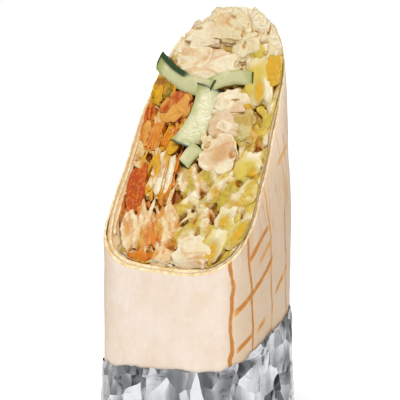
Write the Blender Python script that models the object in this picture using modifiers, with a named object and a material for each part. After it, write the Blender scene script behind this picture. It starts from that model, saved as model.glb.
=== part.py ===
"""A half of a chicken durum wrap, standing on its closed, foil-wrapped end.

The roll is upright along +Z. Its broad face looks along -Y, and the slanting cut rises from
the front (-Y) to the back (+Y). Metres, with the origin at the middle of the underside.
"""

import math
import random

import bmesh
import bpy
from mathutils import Matrix, Vector, noise

MM = 0.001

# The roll's outline, seen from above
HALF_WIDTH = 33.05 * MM
HALF_DEPTH = 28.0 * MM
FRONT_SQUARENESS = 3.3
BACK_SQUARENESS = 2.62
FOOT_SPREAD = 0.9 * MM
DENT_DEPTH = 0.35 * MM

# The cut: a slightly hollow slope around CUT_CENTRE, which curls up by TIP_RISE at its tip
CUT_CENTRE = 111.7 * MM
CUT_SLOPE = 1.70
CUT_LEAN = -0.06
CUT_HOLLOW = 0.34
TIP_RISE = 2.45 * MM

# Just below the cut, the roll is pressed in on the side that PINCH_TURN gives
PINCH = 5.0 * MM
PINCH_TURN = 0.038
PINCH_WIDTH = 0.065
PINCH_DEPTH = 10 * MM

# The flatbread, one sheet rolled up from its outer edge inwards
SHEET = 0.85 * MM
LAYER_GAP = 0.32 * MM
FIRST_TURN_OUT = 0.45
TURNS = 2.25
SEAM_TURN = 0.36
COLUMNS_PER_TURN = 28
OPENINGS = ((1.16, 0.09, 0.7 * MM), (2.16, 0.11, 1.7 * MM), (1.62, 0.08, 0.4 * MM))
OPENING_DEPTH = 28 * MM
FOLDED_END = 4.6 * MM
# How far under the cut the rows of the rolled sheet lie, below the one that reaches above it
ROW_DEPTHS = (26 * MM, 13 * MM, 6 * MM, 0.0, -14 * MM)
FOOT_RADIUS = 2.9 * MM

# The foil
FOIL = 0.4 * MM
FOIL_COLUMNS = 40
FOIL_WALL_ROWS = 6
FOIL_CORNER = 3.5 * MM
CORNER_STEPS = 3
FOIL_RIM = 33 * MM
FOIL_PEAK = 21 * MM
FOIL_PEAK_TURN = 0.08
FOIL_CRUMPLE = 1.1 * MM

# Clearances
GAP = 0.35 * MM
FOIL_CLEARANCE = 0.45 * MM
RECESS = 3.0 * MM
FILLING_FOOT = 5.0 * MM
CORE_INSET = 0.2 * MM

# Pieces that show on the cut. x and y say where on the cut, out is how far the piece's middle
# stands out of it, then length, width and height, all in mm, the turn from X in degrees,
# and the seed of its lumps.
CHUNKS = {
    "chicken_chunk_1": (-8.8, 18.6, -2.5, 30, 15, 14, 4, 11),
    "chicken_chunk_2": (-1.0, 24.6, -1.5, 17, 10, 13, -4, 12),
    "chicken_chunk_3": (-13.0, 23.2, -2.0, 14, 9, 12, 20, 13),
    "chicken_chunk_4": (7.6, 22.0, -2.0, 12, 11, 11, 30, 14),
    "chicken_chunk_5": (7.2, 12.4, -2.0, 17, 9, 10, 4, 15),
    "chicken_chunk_6": (6.2, 8.0, -1.6, 14, 10, 11, -20, 16),
    "chicken_chunk_7": (14.6, 8.6, -2.0, 9, 12, 10, 10, 17),
    "chicken_chunk_8": (7.4, 2.2, -1.0, 14, 15, 12, 30, 18),
    "chicken_chunk_9": (12.2, -21.4, -1.5, 15, 12, 12, -8, 19),
    "cabbage_rib_1": (16.6, 16.6, -1.0, 10, 20, 12, -4, 21),
    "cabbage_rib_2": (21.2, 18.4, -0.5, 10, 16, 13, -14, 22),
    "cabbage_rib_3": (21.8, 0.6, -1.0, 11, 12, 11, 0, 23),
    "cabbage_rib_4": (19.8, -12.0, -1.0, 9, 11, 10, -20, 24),
    "cabbage_rib_5": (26.6, -14.6, -1.5, 7, 14, 10, -12, 25),
    "cabbage_rib_6": (18.8, -18.4, -1.0, 10, 15, 11, -20, 26),
    "grilled_piece_1": (-16.8, 10.4, -1.0, 12, 13, 12, -10, 31),
    "grilled_piece_2": (-25.6, 13.4, -1.5, 11, 12, 12, 15, 32),
    "grilled_piece_3": (-28.6, 7.4, -2.0, 7, 14, 10, 10, 33),
    "grilled_piece_4": (-24.2, 4.2, -1.5, 9, 14, 11, 5, 34),
    "grilled_piece_5": (-14.6, 4.2, -1.5, 8, 12, 10, -10, 35),
    "grilled_piece_6": (-23.2, -7.6, -1.8, 8, 21, 11, 12, 36),
    "grilled_piece_7": (-15.8, -3.6, -1.0, 11, 20, 11, 8, 37),
}

# Cucumber slices on edge: x, y, out, chord length, thickness and depth in mm, then the turn
# from X and the lean of the slice about its own chord, in degrees.
SLICES = {
    "cucumber_slice_1": (-16.0, 15.8, 0.6, 29, 5.0, 12, -10, 12),
    "cucumber_slice_2": (4.8, 15.4, 0.4, 19, 4.0, 10, 10, 8),
    "cucumber_slice_3": (-6.0, 8.6, 0.8, 24, 7.0, 11, 74, 24),
    "cucumber_slice_4": (-3.2, 1.0, 0.2, 9, 5.0, 8, 60, 10),
}

# The three heaps that fill the roll, each one side of the others, as outlines in mm
REGIONS = {
    "dressed_salad": (
        (-36, 18), (-15, 14.6), (-9.5, 9), (-8.2, 2), (-6.4, -3), (-3.4, -9), (0, -16),
        (3, -22), (5, -36), (40, -36), (40, 36), (-36, 36),
    ),
    "grilled_chicken": (
        (-36, 17.6), (-15.4, 14.2), (-10, 8.8), (-8.7, 2), (-6.9, -3), (-3.9, -9.2),
        (-12, -11.6), (-22, -13.2), (-36, -8.6),
    ),
    "cabbage_shreds": (
        (-36, -9), (-22, -13.6), (-12, -12), (-3.7, -9.6), (-0.5, -16), (2.5, -22),
        (4.5, -36), (-36, -36),
    ),
}

# Smaller pieces fused to each heap, as x, y, out, length, width, height, turn and seed
FUSED = {
    "dressed_salad": (
        (21.6, 6.2, -1.5, 10, 8, 9, 20, 41), (4.0, -3.6, -1.2, 12, 8, 8, 40, 42),
        (25.6, -5.0, -1.8, 7, 12, 8, -6, 43), (12.2, -4.4, -0.8, 4.5, 15, 8, -16, 44),
        (17.2, -6.0, -1.0, 4.5, 14, 8, -14, 45), (0.4, -9.6, -1.2, 6, 13, 8, -34, 46),
        (22.0, -7.4, -1.4, 5, 10, 8, 12, 47), (5.8, -15.2, -0.8, 4.5, 18, 7, -24, 48),
        (12.6, 21.4, -2.0, 8, 7, 8, 0, 49), (-21.6, 18.6, -2.0, 9, 8, 8, 25, 50),
        (-3.4, -3.6, -1.2, 7, 11, 7, 10, 51), (10.4, -13.0, -1.2, 7, 10, 8, 20, 53),
    ),
    "grilled_chicken": (
        (-28.6, 1.6, -2, 6, 9, 8, 10, 61), (-26.8, -1.4, 0.3, 15, 3.6, 5, -24, 62),
        (-20.6, 9.6, -2.0, 6, 12, 8, 0, 63), (-10.6, -7.0, -1.2, 6, 13, 8, 12, 64),
    ),
    "cabbage_shreds": (
        (-28.0, -11.0, -1.2, 3.2, 24, 6, 10, 71), (-19.2, -18.4, -1.2, 4.6, 18, 7, 6, 72),
        (-12.0, -18.4, -0.8, 5.2, 19, 7, 4, 73), (-6.2, -15.0, -0.8, 6.6, 17, 7, -8, 74),
        (-1.6, -17.4, -1.0, 3.6, 15, 6, -12, 75), (-10.4, -24.6, -1.6, 10, 6, 6, 0, 76),
        (-0.8, -23.2, -1.4, 8, 8, 6, 0, 77),
    ),
}

COLOURS = {
    "flatbread": (0.86, 0.74, 0.60),
    "foil": (0.62, 0.63, 0.65),
    "chicken": (0.82, 0.66, 0.50),
    "grilled": (0.66, 0.27, 0.06),
    "rib": (0.76, 0.70, 0.28),
    "cucumber": (0.56, 0.62, 0.34),
    "shreds": (0.82, 0.74, 0.52),
    "salad": (0.88, 0.80, 0.62),
}


def clear_scene():
    for obj in list(bpy.data.objects):
        bpy.data.objects.remove(obj, do_unlink=True)


def new_collection(name, helper=False):
    collection = bpy.data.collections.new(name)
    bpy.context.scene.collection.children.link(collection)
    collection.hide_render = helper
    return collection


def material(name, metallic=0.0, roughness=0.55):
    made = bpy.data.materials.new(name)
    made.use_nodes = True
    shader = made.node_tree.nodes["Principled BSDF"]
    shader.inputs["Base Color"].default_value = (*COLOURS[name], 1.0)
    shader.inputs["Roughness"].default_value = roughness
    shader.inputs["Metallic"].default_value = metallic
    return made


def outline(turn, inset):
    """A point of the roll's rounded outline, moved in by inset. Turn 0 is +X, 0.25 is +Y."""
    angle = 2 * math.pi * turn
    across, along = math.cos(angle), math.sin(angle)
    power = 2 / (BACK_SQUARENESS if along > 0 else FRONT_SQUARENESS)
    x = (HALF_WIDTH - inset) * math.copysign(abs(across) ** power, across)
    y = (HALF_DEPTH - inset) * math.copysign(abs(along) ** power, along)
    return x, y


def give(turn, z):
    """How far the roll's side stands out there: it spreads towards the foot, with soft dents."""
    angle = 2 * math.pi * turn
    dent = math.sin(3 * angle + 0.06 * z / MM) + math.sin(2 * angle - 0.09 * z / MM + 1)
    return FOOT_SPREAD * max(0, 1 - z / CUT_CENTRE) + DENT_DEPTH * 0.5 * dent


def cut_height(x, y):
    hollow = CUT_HOLLOW * (y * y / HALF_DEPTH - HALF_DEPTH / 2)
    tip = TIP_RISE * min(max(0, y / HALF_DEPTH), 1.2) ** 8
    return CUT_CENTRE + CUT_SLOPE * y + CUT_LEAN * x + hollow + tip


def cut_frame(x, y):
    """The cut's surface at x and y: along X, up the slope, and out of the food."""
    curl = 8 * TIP_RISE / HALF_DEPTH * max(0, y / HALF_DEPTH) ** 7
    slope = CUT_SLOPE + 2 * CUT_HOLLOW * y / HALF_DEPTH + curl
    along = Vector((1, 0, CUT_LEAN)).normalized()
    out = along.cross(Vector((0, 1, slope))).normalized()
    return Vector((x, y, cut_height(x, y))), along, out.cross(along), out


def placed(x, y, out, turn):
    """The matrix that puts a piece on the cut: its X along the cut, its Z out of the food."""
    point, along, up, normal = cut_frame(x * MM, y * MM)
    matrix = Matrix((along, up, normal)).transposed().to_4x4()
    matrix.translation = point + normal * out * MM
    return matrix @ Matrix.Rotation(math.radians(turn), 4, "Z")


def object_from(bm, name, collection):
    """An object of flat triangles, which the Booleans cut most cleanly."""
    bmesh.ops.triangulate(bm, faces=bm.faces)
    mesh = bpy.data.meshes.new(name)
    bm.to_mesh(mesh)
    bm.free()
    obj = bpy.data.objects.new(name, mesh)
    collection.objects.link(obj)
    return obj


def boolean(obj, operation, operand):
    """Applies one Boolean. The operand is an object or a collection."""
    modifier = obj.modifiers.new(operation.title(), "BOOLEAN")
    modifier.operation = operation
    if isinstance(operand, bpy.types.Collection):
        modifier.operand_type = "COLLECTION"
        modifier.collection = operand
    else:
        modifier.object = operand
    apply_modifiers(obj)


def apply_modifiers(obj):
    graph = bpy.context.evaluated_depsgraph_get()
    mesh = bpy.data.meshes.new_from_object(obj.evaluated_get(graph))
    obj.modifiers.clear()
    obj.data = mesh


def drop_scraps(obj):
    """Keeps the largest of the bodies that the Booleans left, without slivers."""
    bm = bmesh.new()
    bm.from_mesh(obj.data)
    bmesh.ops.remove_doubles(bm, verts=bm.verts, dist=0.02 * MM)
    bmesh.ops.triangulate(bm, faces=bm.faces)
    unseen, bodies = set(bm.faces), []
    while unseen:
        body, edge_of_body = set(), [unseen.pop()]
        while edge_of_body:
            face = edge_of_body.pop()
            body.add(face)
            for neighbour in (f for e in face.edges for f in e.link_faces if f in unseen):
                unseen.discard(neighbour)
                edge_of_body.append(neighbour)
        bodies.append(body)
    bodies.sort(key=lambda faces: sum(f.calc_area() for f in faces))
    scraps = [face for body in bodies[:-1] for face in body]
    bmesh.ops.delete(bm, geom=scraps, context="FACES")
    bm.to_mesh(obj.data)
    bm.free()


def skin_rings(bm, rings, closed_top=True):
    """Joins rings of vertices, the lowest first, and fills the first one."""
    count = len(rings[0])
    for lower, upper in zip(rings, rings[1:]):
        for a in range(count):
            b = (a + 1) % count
            bm.faces.new((lower[a], lower[b], upper[b], upper[a]))
    bm.faces.new(rings[0][::-1])
    if closed_top:
        bm.faces.new(rings[-1])
    bmesh.ops.recalc_face_normals(bm, faces=bm.faces)


def side_point(turn, inset, z):
    """A point at the height z, moved in from the roll's side by inset."""
    return (*outline(turn, inset - give(turn, z)), z)


def turns_of_sheet():
    """Once round the roll, at the same places as the sheet's own columns."""
    return [SEAM_TURN + column / COLUMNS_PER_TURN for column in range(COLUMNS_PER_TURN)]


def filling_room(name, collection, spare):
    """A tall block inside the sheet's last layer, with spare room all round."""
    bm = bmesh.new()
    clear = SHEET / 2 + GAP + spare
    lines = []
    for turn in turns_of_sheet():
        rows = sheet_rows(innermost_layer(turn), FILLING_FOOT + spare)
        lines.append([bm.verts.new(side_point(turn, inset + clear, z)) for inset, z in rows])
    skin_rings(bm, list(zip(*lines)))
    return object_from(bm, name, collection)


def corner(radius):
    """The rounded corner of the foot as insets and heights, from below to the wall."""
    middle = FOIL_CORNER - FOIL_CLEARANCE
    angles = [math.pi / 2 * step / CORNER_STEPS for step in range(CORNER_STEPS + 1)]
    lift = FOIL + FOIL_CORNER
    return [(middle - radius * math.sin(a), lift - radius * math.cos(a)) for a in angles]


def folded_end(collection):
    """The roll's closed end: the sheet folded in under it, as a round-cornered pad."""
    bm = bmesh.new()
    profile = corner(FOOT_RADIUS)
    profile.append((profile[-1][0], FOLDED_END))
    lines = []
    for turn in turns_of_sheet():
        wall = wall_inset(turn)
        lines.append([bm.verts.new(side_point(turn, wall + inset, z)) for inset, z in profile])
    skin_rings(bm, list(zip(*lines)))
    return object_from(bm, "folded_end", collection)


def knife(name, collection, drop):
    """Everything above the cut, lowered by drop, as a solid to take away. It runs on across X."""
    bm = bmesh.new()
    cells, side, top = 13, 101 * MM, 400 * MM
    bmesh.ops.create_grid(bm, x_segments=1, y_segments=cells, size=side / 2)
    for vert in bm.verts:
        vert.co.z = cut_height(vert.co.x, vert.co.y) - drop
    raised = bmesh.ops.extrude_face_region(bm, geom=bm.faces[:])
    for vert in (v for v in raised["geom"] if isinstance(v, bmesh.types.BMVert)):
        vert.co.z = top
    bmesh.ops.recalc_face_normals(bm, faces=bm.faces)
    return object_from(bm, name, collection)


def shrunk(corners, by):
    """The corners of a closed outline, moved in by that much. The outline runs either way."""
    ahead = corners[1:] + corners[:1]
    area = sum(a[0] * b[1] - b[0] * a[1] for a, b in zip(corners, ahead))
    side = math.copysign(by, area)
    moved = []
    for before, here, after in zip(corners[-1:] + corners[:-1], corners, ahead):
        first = (Vector(here) - Vector(before)).normalized()
        second = (Vector(after) - Vector(here)).normalized()
        normal = Vector((-first.y - second.y, first.x + second.x)).normalized()
        reach = side / max(0.4, normal.dot(Vector((-first.y, first.x))))
        moved.append(tuple(Vector(here) + normal * reach))
    return moved


def region_block(name, collection, corners):
    """A tall block over one of the REGIONS, made from a filled and extruded outline."""
    curve = bpy.data.curves.new(name, "CURVE")
    curve.dimensions = "2D"
    curve.fill_mode = "BOTH"
    curve.extrude = 400 * MM
    spline = curve.splines.new("POLY")
    spline.points.add(len(corners) - 1)
    for point, (x, y) in zip(spline.points, corners):
        point.co = (x * MM, y * MM, 0, 1)
    spline.use_cyclic_u = True
    outline_object = bpy.data.objects.new(name + "_outline", curve)
    collection.objects.link(outline_object)
    graph = bpy.context.evaluated_depsgraph_get()
    mesh = bpy.data.meshes.new_from_object(outline_object.evaluated_get(graph))
    bpy.data.objects.remove(outline_object)
    bm = bmesh.new()
    bm.from_mesh(mesh)
    bmesh.ops.remove_doubles(bm, verts=bm.verts, dist=0.01 * MM)
    bmesh.ops.recalc_face_normals(bm, faces=bm.faces)
    return object_from(bm, name, collection)


def sheet_inset(wound, depth):
    """How far in the sheet's middle lies after winding that many turns, depth under the cut."""
    opened = sum(
        amount * math.exp(-(((wound - middle) / width) ** 2))
        for middle, width, amount in OPENINGS
    )
    opened *= math.exp(-max(depth, 0) / OPENING_DEPTH)
    pressed = pinch(SEAM_TURN + wound, depth)
    return SHEET / 2 + (SHEET + LAYER_GAP) * (wound - FIRST_TURN_OUT) + opened + pressed


def pinch(turn, depth):
    """How far the roll is pressed in at that turn, depth under the cut."""
    away = (turn - PINCH_TURN + 0.5) % 1.0 - 0.5
    return PINCH * math.exp(-((away / PINCH_WIDTH) ** 2) - max(depth, 0) / PINCH_DEPTH)


def sheet_rows(wound, foot):
    """The insets and heights of one column of the sheet, from the foot to above the cut."""
    top = cut_height(*outline(SEAM_TURN + wound, sheet_inset(wound, 0)))
    heights = [foot] + [top - depth for depth in ROW_DEPTHS]
    return [(sheet_inset(wound, top - z), z) for z in heights]


def wall_inset(turn):
    """How far in the roll's side lies at that turn, without the step at the sheet's seam."""
    wound = (turn - SEAM_TURN) % 1.0
    return (SHEET + LAYER_GAP) * (min(wound, 9 * (1 - wound)) - FIRST_TURN_OUT)


def innermost_layer(turn):
    """How many turns the sheet has been wound where its last layer passes that turn."""
    wound = (turn - SEAM_TURN) % 1.0
    while wound + 1 <= TURNS + 0.04:
        wound += 1
    return wound


def flatbread(collection, cutters, trim):
    """The rolled sheet, trimmed by the cut, with its folded end as a pad across the foot."""
    bm = bmesh.new()
    columns = round(TURNS * COLUMNS_PER_TURN)
    grid = []
    for column in range(columns + 1):
        wound = TURNS * column / columns
        rows = sheet_rows(wound, FOLDED_END - SHEET)
        grid.append([bm.verts.new(side_point(SEAM_TURN + wound, inset, z)) for inset, z in rows])
    for left, right in zip(grid, grid[1:]):
        for row in range(len(left) - 1):
            bm.faces.new((left[row], right[row], right[row + 1], left[row + 1]))
    sheet = object_from(bm, "flatbread", collection)
    solidify = sheet.modifiers.new("Thickness", "SOLIDIFY")
    solidify.thickness = SHEET
    solidify.offset = 0
    apply_modifiers(sheet)
    boolean(sheet, "DIFFERENCE", trim)
    boolean(sheet, "UNION", folded_end(cutters))
    drop_scraps(sheet)
    return sheet


def foil_rim(turn):
    """The foil's upper edge: level in front, drawn up to a peak at the back right."""
    away = (turn - FOIL_PEAK_TURN + 0.5) % 1.0 - 0.5
    width = 0.13 if away < 0 else 0.22
    ragged = 0.9 * MM * math.sin(2 * math.pi * 7 * turn) + 0.7 * MM * math.sin(2 * math.pi * 17 * turn + 1)
    return FOIL_RIM + FOIL_PEAK * math.exp(-((away / width) ** 2)) + ragged


def crumple(point, reach):
    """Sharp-edged folds that only ever lift the foil away from the bread."""
    sample = Vector(point) / reach
    folds = abs(noise.noise(sample)) + 0.6 * abs(noise.noise(sample * 1.9 + Vector((7, 3, 5))))
    return min(1.0, 1.6 * folds)


def foil(collection):
    """An open cup of foil round the foot, thickened outwards, flat where it stands."""
    bm = bmesh.new()
    foot = corner(FOIL_CORNER)
    lines = []
    for column in range(FOIL_COLUMNS):
        turn = column / FOIL_COLUMNS
        wall = wall_inset(turn)
        line = [side_point(turn, wall + inset, z) for inset, z in foot]
        low = foot[-1][1]
        for row in range(1, FOIL_WALL_ROWS + 1):
            z = low + (foil_rim(turn) - low) * row / FOIL_WALL_ROWS
            lift = FOIL_CRUMPLE * crumple((*outline(turn, 0), z), 9 * MM) * min(1, 0.3 + row / 3)
            line.append(side_point(turn, wall - FOIL_CLEARANCE - lift, z))
        lines.append(line)
    rings = [[bm.verts.new(point) for point in ring] for ring in zip(*lines)]
    skin_rings(bm, rings, closed_top=False)
    cup = object_from(bm, "foil", collection)
    solidify = cup.modifiers.new("Thickness", "SOLIDIFY")
    solidify.thickness = FOIL
    solidify.offset = 1
    return cup


def chunk(name, collection, spec, detail, grow=0.0):
    """A blocky lump of food on the cut. grow makes it that much larger all round."""
    x, y, out, length, width, height, turn, seed = spec
    bm = bmesh.new()
    bmesh.ops.create_icosphere(bm, subdivisions=detail, radius=1.0)
    half = Vector((length, width, height)) * MM / 2
    offset = Vector((seed * 3.7, seed * 1.3, seed * 5.1))
    for vert in bm.verts:
        way = vert.co.normalized()
        blocky = sum(abs(c) ** 3 for c in way) ** (1 / 3)
        lumps = 1 + 0.26 * noise.noise(way * 1.6 + offset) + 0.12 * noise.noise(way * 3.6 - offset)
        flat = way / blocky * lumps
        vert.co = Vector((flat.x * half.x, flat.y * half.y, flat.z * half.z)) + way * grow
    bmesh.ops.transform(bm, matrix=placed(x, y, out, turn), verts=bm.verts)
    return object_from(bm, name, collection)


def cucumber_slice(name, collection, spec, grow=0.0):
    """A slice standing on edge in the food: the knife left a chord of it on the cut."""
    x, y, out, chord, thick, depth, turn, lean = spec
    bm = bmesh.new()
    half, sink = chord * MM / 2 + grow, depth * MM + grow
    radius = (half * half + sink * sink) / (2 * sink)
    bmesh.ops.create_cone(
        bm, cap_ends=True, segments=28, radius1=radius, radius2=radius, depth=thick * MM + 2 * grow
    )
    # The chord lies along X at z = 0, and the round side hangs below it
    bmesh.ops.rotate(bm, verts=bm.verts, matrix=Matrix.Rotation(math.radians(90), 3, "X"))
    bmesh.ops.translate(bm, verts=bm.verts, vec=(0, 0, radius - sink))
    everything = bm.verts[:] + bm.edges[:] + bm.faces[:]
    cut = bmesh.ops.bisect_plane(
        bm, geom=everything, plane_co=(0, 0, grow), plane_no=(0, 0, 1), clear_outer=True
    )
    edges = [e for e in cut["geom_cut"] if isinstance(e, bmesh.types.BMEdge)]
    bmesh.ops.contextual_create(bm, geom=edges)
    for share in (-0.6, -0.2, 0.2, 0.6):
        everything = bm.verts[:] + bm.edges[:] + bm.faces[:]
        bmesh.ops.bisect_plane(bm, geom=everything, plane_co=(share * half, 0, 0), plane_no=(1, 0, 0))
    sag = 0.10 * chord * MM
    for vert in bm.verts:
        vert.co.y += sag * (1 - (vert.co.x / half) ** 2) * (-1 if lean > 10 else 1)
    matrix = placed(x, y, out, turn) @ Matrix.Rotation(math.radians(lean), 4, "X")
    bmesh.ops.transform(bm, matrix=matrix, verts=bm.verts)
    return object_from(bm, name, collection)


def showing_pieces(collection, cavity):
    """The pieces that show on the cut, each clear of the bread and of those before it."""
    taken = new_collection("taken", helper=True)
    makers = [(name, cucumber_slice, (spec,)) for name, spec in SLICES.items()]
    makers += [(name, chunk, (spec, 2)) for name, spec in CHUNKS.items()]
    pieces = []
    for name, maker, spec in makers:
        piece = maker(name, collection, *spec)
        boolean(piece, "INTERSECT", cavity)
        if taken.objects:
            boolean(piece, "DIFFERENCE", taken)
        drop_scraps(piece)
        pieces.append(piece)
        maker(name + "_room", taken, *spec, grow=GAP)
    return pieces, taken


def heap(name, collection, cutters, rooms, low_knife, taken):
    """One heap: a core out to the roll's inside, with smaller pieces fused to its top."""
    cavity, core_cavity = rooms
    room = object_copy(cavity, name + "_room", cutters)
    boolean(room, "INTERSECT", region_block(name + "_block", cutters, list(REGIONS[name])))
    core = object_copy(core_cavity, name, collection)
    inside = shrunk(list(REGIONS[name]), CORE_INSET / MM)
    boolean(core, "INTERSECT", region_block(name + "_core_block", cutters, inside))
    boolean(core, "DIFFERENCE", low_knife)
    lumps = new_collection(name + "_lumps", helper=True)
    for count, spec in enumerate(FUSED[name]):
        chunk(f"{name}_lump_{count}", lumps, spec, 2)
    boolean(core, "UNION", lumps)
    boolean(core, "INTERSECT", room)
    boolean(core, "DIFFERENCE", taken)
    drop_scraps(core)
    remove_all(lumps)
    return core


def object_copy(obj, name, collection):
    copied = bpy.data.objects.new(name, obj.data.copy())
    collection.objects.link(copied)
    return copied


def remove_all(collection):
    for obj in list(collection.objects):
        bpy.data.objects.remove(obj, do_unlink=True)


def main():
    clear_scene()
    wrap = new_collection("durum_wrap")
    cutters = new_collection("cutters", helper=True)
    materials = {name: material(name) for name in COLOURS if name != "foil"}
    materials["foil"] = material("foil", metallic=1.0, roughness=0.3)

    trim = knife("trim", cutters, 0.0)
    low_knife = knife("low_knife", cutters, RECESS * math.hypot(1, CUT_SLOPE))
    cavity = filling_room("cavity", cutters, 0.0)
    core_cavity = filling_room("core_cavity", cutters, CORE_INSET)

    finishes = {flatbread(wrap, cutters, trim): "flatbread", foil(wrap): "foil"}
    pieces, taken = showing_pieces(wrap, cavity)
    kinds = {"chicken": "chicken", "cabbage": "rib", "grilled": "grilled", "cucumber": "cucumber"}
    finishes.update({piece: kinds[piece.name.split("_")[0]] for piece in pieces})
    for name, finish in (
        ("dressed_salad", "salad"), ("grilled_chicken", "grilled"), ("cabbage_shreds", "shreds"),
    ):
        finishes[heap(name, wrap, cutters, (cavity, core_cavity), low_knife, taken)] = finish
    for obj, finish in finishes.items():
        obj.data.materials.clear()
        obj.data.materials.append(materials[finish])
        obj.data.shade_smooth()
    remove_all(cutters)
    remove_all(taken)


main()
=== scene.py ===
"""The looks of half a chicken durum wrap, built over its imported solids.

Lengths are in metres unless a name ends in _MM or a comment says mm. The roll stands along +Z,
its broad face looks along -Y, and the slanting cut rises from the front (-Y) to the back (+Y).
"""

import math

import bmesh
import bpy
import numpy as np
from mathutils import Matrix, Vector, kdtree, noise

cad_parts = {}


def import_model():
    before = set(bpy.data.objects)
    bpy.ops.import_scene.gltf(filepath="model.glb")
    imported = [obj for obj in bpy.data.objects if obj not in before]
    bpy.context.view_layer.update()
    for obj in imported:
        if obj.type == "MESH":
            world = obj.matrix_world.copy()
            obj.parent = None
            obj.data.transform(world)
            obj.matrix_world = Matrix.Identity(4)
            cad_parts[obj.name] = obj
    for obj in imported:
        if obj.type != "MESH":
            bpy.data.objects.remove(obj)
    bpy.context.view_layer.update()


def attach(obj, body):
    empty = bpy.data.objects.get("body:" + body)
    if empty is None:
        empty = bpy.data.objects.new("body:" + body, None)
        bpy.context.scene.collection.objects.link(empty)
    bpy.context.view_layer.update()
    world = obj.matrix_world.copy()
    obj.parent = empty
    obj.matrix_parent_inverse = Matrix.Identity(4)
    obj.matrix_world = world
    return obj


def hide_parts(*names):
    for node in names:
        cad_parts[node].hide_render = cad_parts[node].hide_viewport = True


MM = 0.001

# The roll's outline and its cut
HALF_WIDTH, HALF_DEPTH = 33.05 * MM, 28.0 * MM
FRONT_SQUARENESS, BACK_SQUARENESS = 3.3, 2.62
FOOT_SPREAD, DENT_DEPTH = 0.9 * MM, 0.35 * MM
CUT_CENTRE, CUT_SLOPE, CUT_LEAN, CUT_HOLLOW = 111.7 * MM, 1.70, -0.06, 0.34
TIP_RISE = 2.45 * MM
PINCH, PINCH_TURN, PINCH_WIDTH, PINCH_DEPTH = 5.0 * MM, 0.038, 0.065, 10 * MM

# The rolled sheet
SHEET, LAYER_STEP, TURNS, SEAM_TURN = 0.85 * MM, 1.17 * MM, 2.25, 0.36
FIRST_TURN_OUT = 0.45
OPENINGS = ((1.16, 0.09, 0.7 * MM), (2.16, 0.11, 1.7 * MM), (1.62, 0.08, 0.4 * MM))
OPENING_DEPTH = 28 * MM
SHEET_COLUMNS_PER_TURN, SHEET_ROWS = 150, 74
# Its lower edge, how far its faces end under the cut in the last two rows, how far the middle of
# its cut edge stands up, and how rippled its faces and how ragged its edge are
SHEET_FOOT, SHEET_LIP, EDGE_ROUND = 3.0 * MM, (0.5 * MM, 0.2 * MM), 0.22 * MM
RIPPLE, RAGGED = 0.10 * MM, 0.12 * MM
# The sauce between its layers: how far under the cut, how far in past the last layer, its grid
# and its kept colour, mostly the painted fold shade, which bread_material explains
SAUCE_OUT_MM, SAUCE_REACH, SAUCE_COLUMNS, SAUCE_ROWS = -0.4, 1.4 * MM, 300, 9
SAUCE_AND_SHADE_TINT = (0.45, 1.0, 0.0)

# The foil
FOIL_FOOT, FOIL_CLEARANCE, FOIL_CORNER = 0.4 * MM, 0.35 * MM, 3.5 * MM
FOIL_RIM, FOIL_PEAK, FOIL_PEAK_TURN = 33 * MM, 21 * MM, 0.08
FOIL_COLUMNS, FOIL_ROWS, FOIL_UNDER_ROWS = 380, 140, 14
# How high its folds stand, how wavy and how ragged its upper edge is, and how uneven its foot is
FOIL_LIFT, FOIL_WAVE, FOIL_RAGGED, FOIL_UNEVEN = 1.2 * MM, 0.6 * MM, 0.35 * MM, 0.25 * MM

# The camera stands where the photograph was taken from
CAMERA_AZIMUTH, CAMERA_ELEVATION, CAMERA_DISTANCE = 33.6, 5.0, 0.943
CAMERA_LENS, CAMERA_AIM, CAMERA_SIDE = 225.0, 93.5 * MM, -0.15 * MM


def srgb(red, green, blue):
    """A colour given as 0 to 255, as a shader takes it."""
    share = np.array([red, green, blue], float) / 255
    linear = np.where(share <= 0.04045, share / 12.92, ((share + 0.055) / 1.055) ** 2.4)
    return tuple(float(c) for c in linear)


# How much light falls on the roll's side and on the food, which faces up to the light: things
# show this much brighter than their own colour
STUDIO_LIGHT = 1.55
CUT_LIGHT = 1.85


def seen(red, green, blue, light=STUDIO_LIGHT):
    """The colour of a surface that shows as this one, 0 to 255, in the studio."""
    return tuple(c / light for c in srgb(red, green, blue))


def food(red, green, blue):
    """The colour of food that shows as this one on the cut."""
    return seen(red, green, blue, CUT_LIGHT)


CREAM = food(254, 241, 206)
CHICKEN = food(240, 212, 176)
CHICKEN_DEEP = food(222, 170, 108)
CABBAGE = food(230, 204, 90)
GREEN = food(188, 166, 30)
OLIVE = food(140, 118, 16)
YELLOW = food(232, 176, 20)
# The next two colours are painted shade, for crevices, creases, grooves and pits
SHADED_CREVICE = food(226, 152, 36)
DARK_SHADED_CREVICE = food(160, 84, 14)
ORANGE = food(232, 136, 14)
DEEP_ORANGE = food(196, 78, 6)
CHAR = food(112, 28, 6)
TAN = food(236, 172, 78)
PALE_SHRED = food(242, 212, 156)
SAUCE = food(250, 235, 196)
CUCUMBER = food(215, 213, 160)
CUCUMBER_EDGE = food(154, 164, 72)
SKIN = food(34, 66, 22)

# Painted shade: what the food's colour is multiplied by in its fine creases and in the gaps between
# pieces, and in the gaps on chicken and juicy chunks
CREASE_SHADE = (0.86, 0.66, 0.36)
CREVICE_SHADE = (0.74, 0.46, 0.14)
CHICKEN_GAP_SHADE = (0.92, 0.74, 0.44)

# The food's real surface against the solids: how far it swells to close the gaps between the
# pieces, how far the knife left it standing out of the cut, and how far it laps over the bread
FOOD_SWELL_MM = 0.8
CUT_BULGE_MM = 4.0
OVERHANG = 1.5 * MM
# How finely the lumps are divided: single chunks, and the fused lumps of a heap
CHUNK_DETAIL, FUSED_DETAIL = 6, 5
# The food at the roll's tip flattens from this height, and stays this little above it
TOP_SOFTENS, TOP_ROOM = 165.6 * MM, 0.55 * MM

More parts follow.
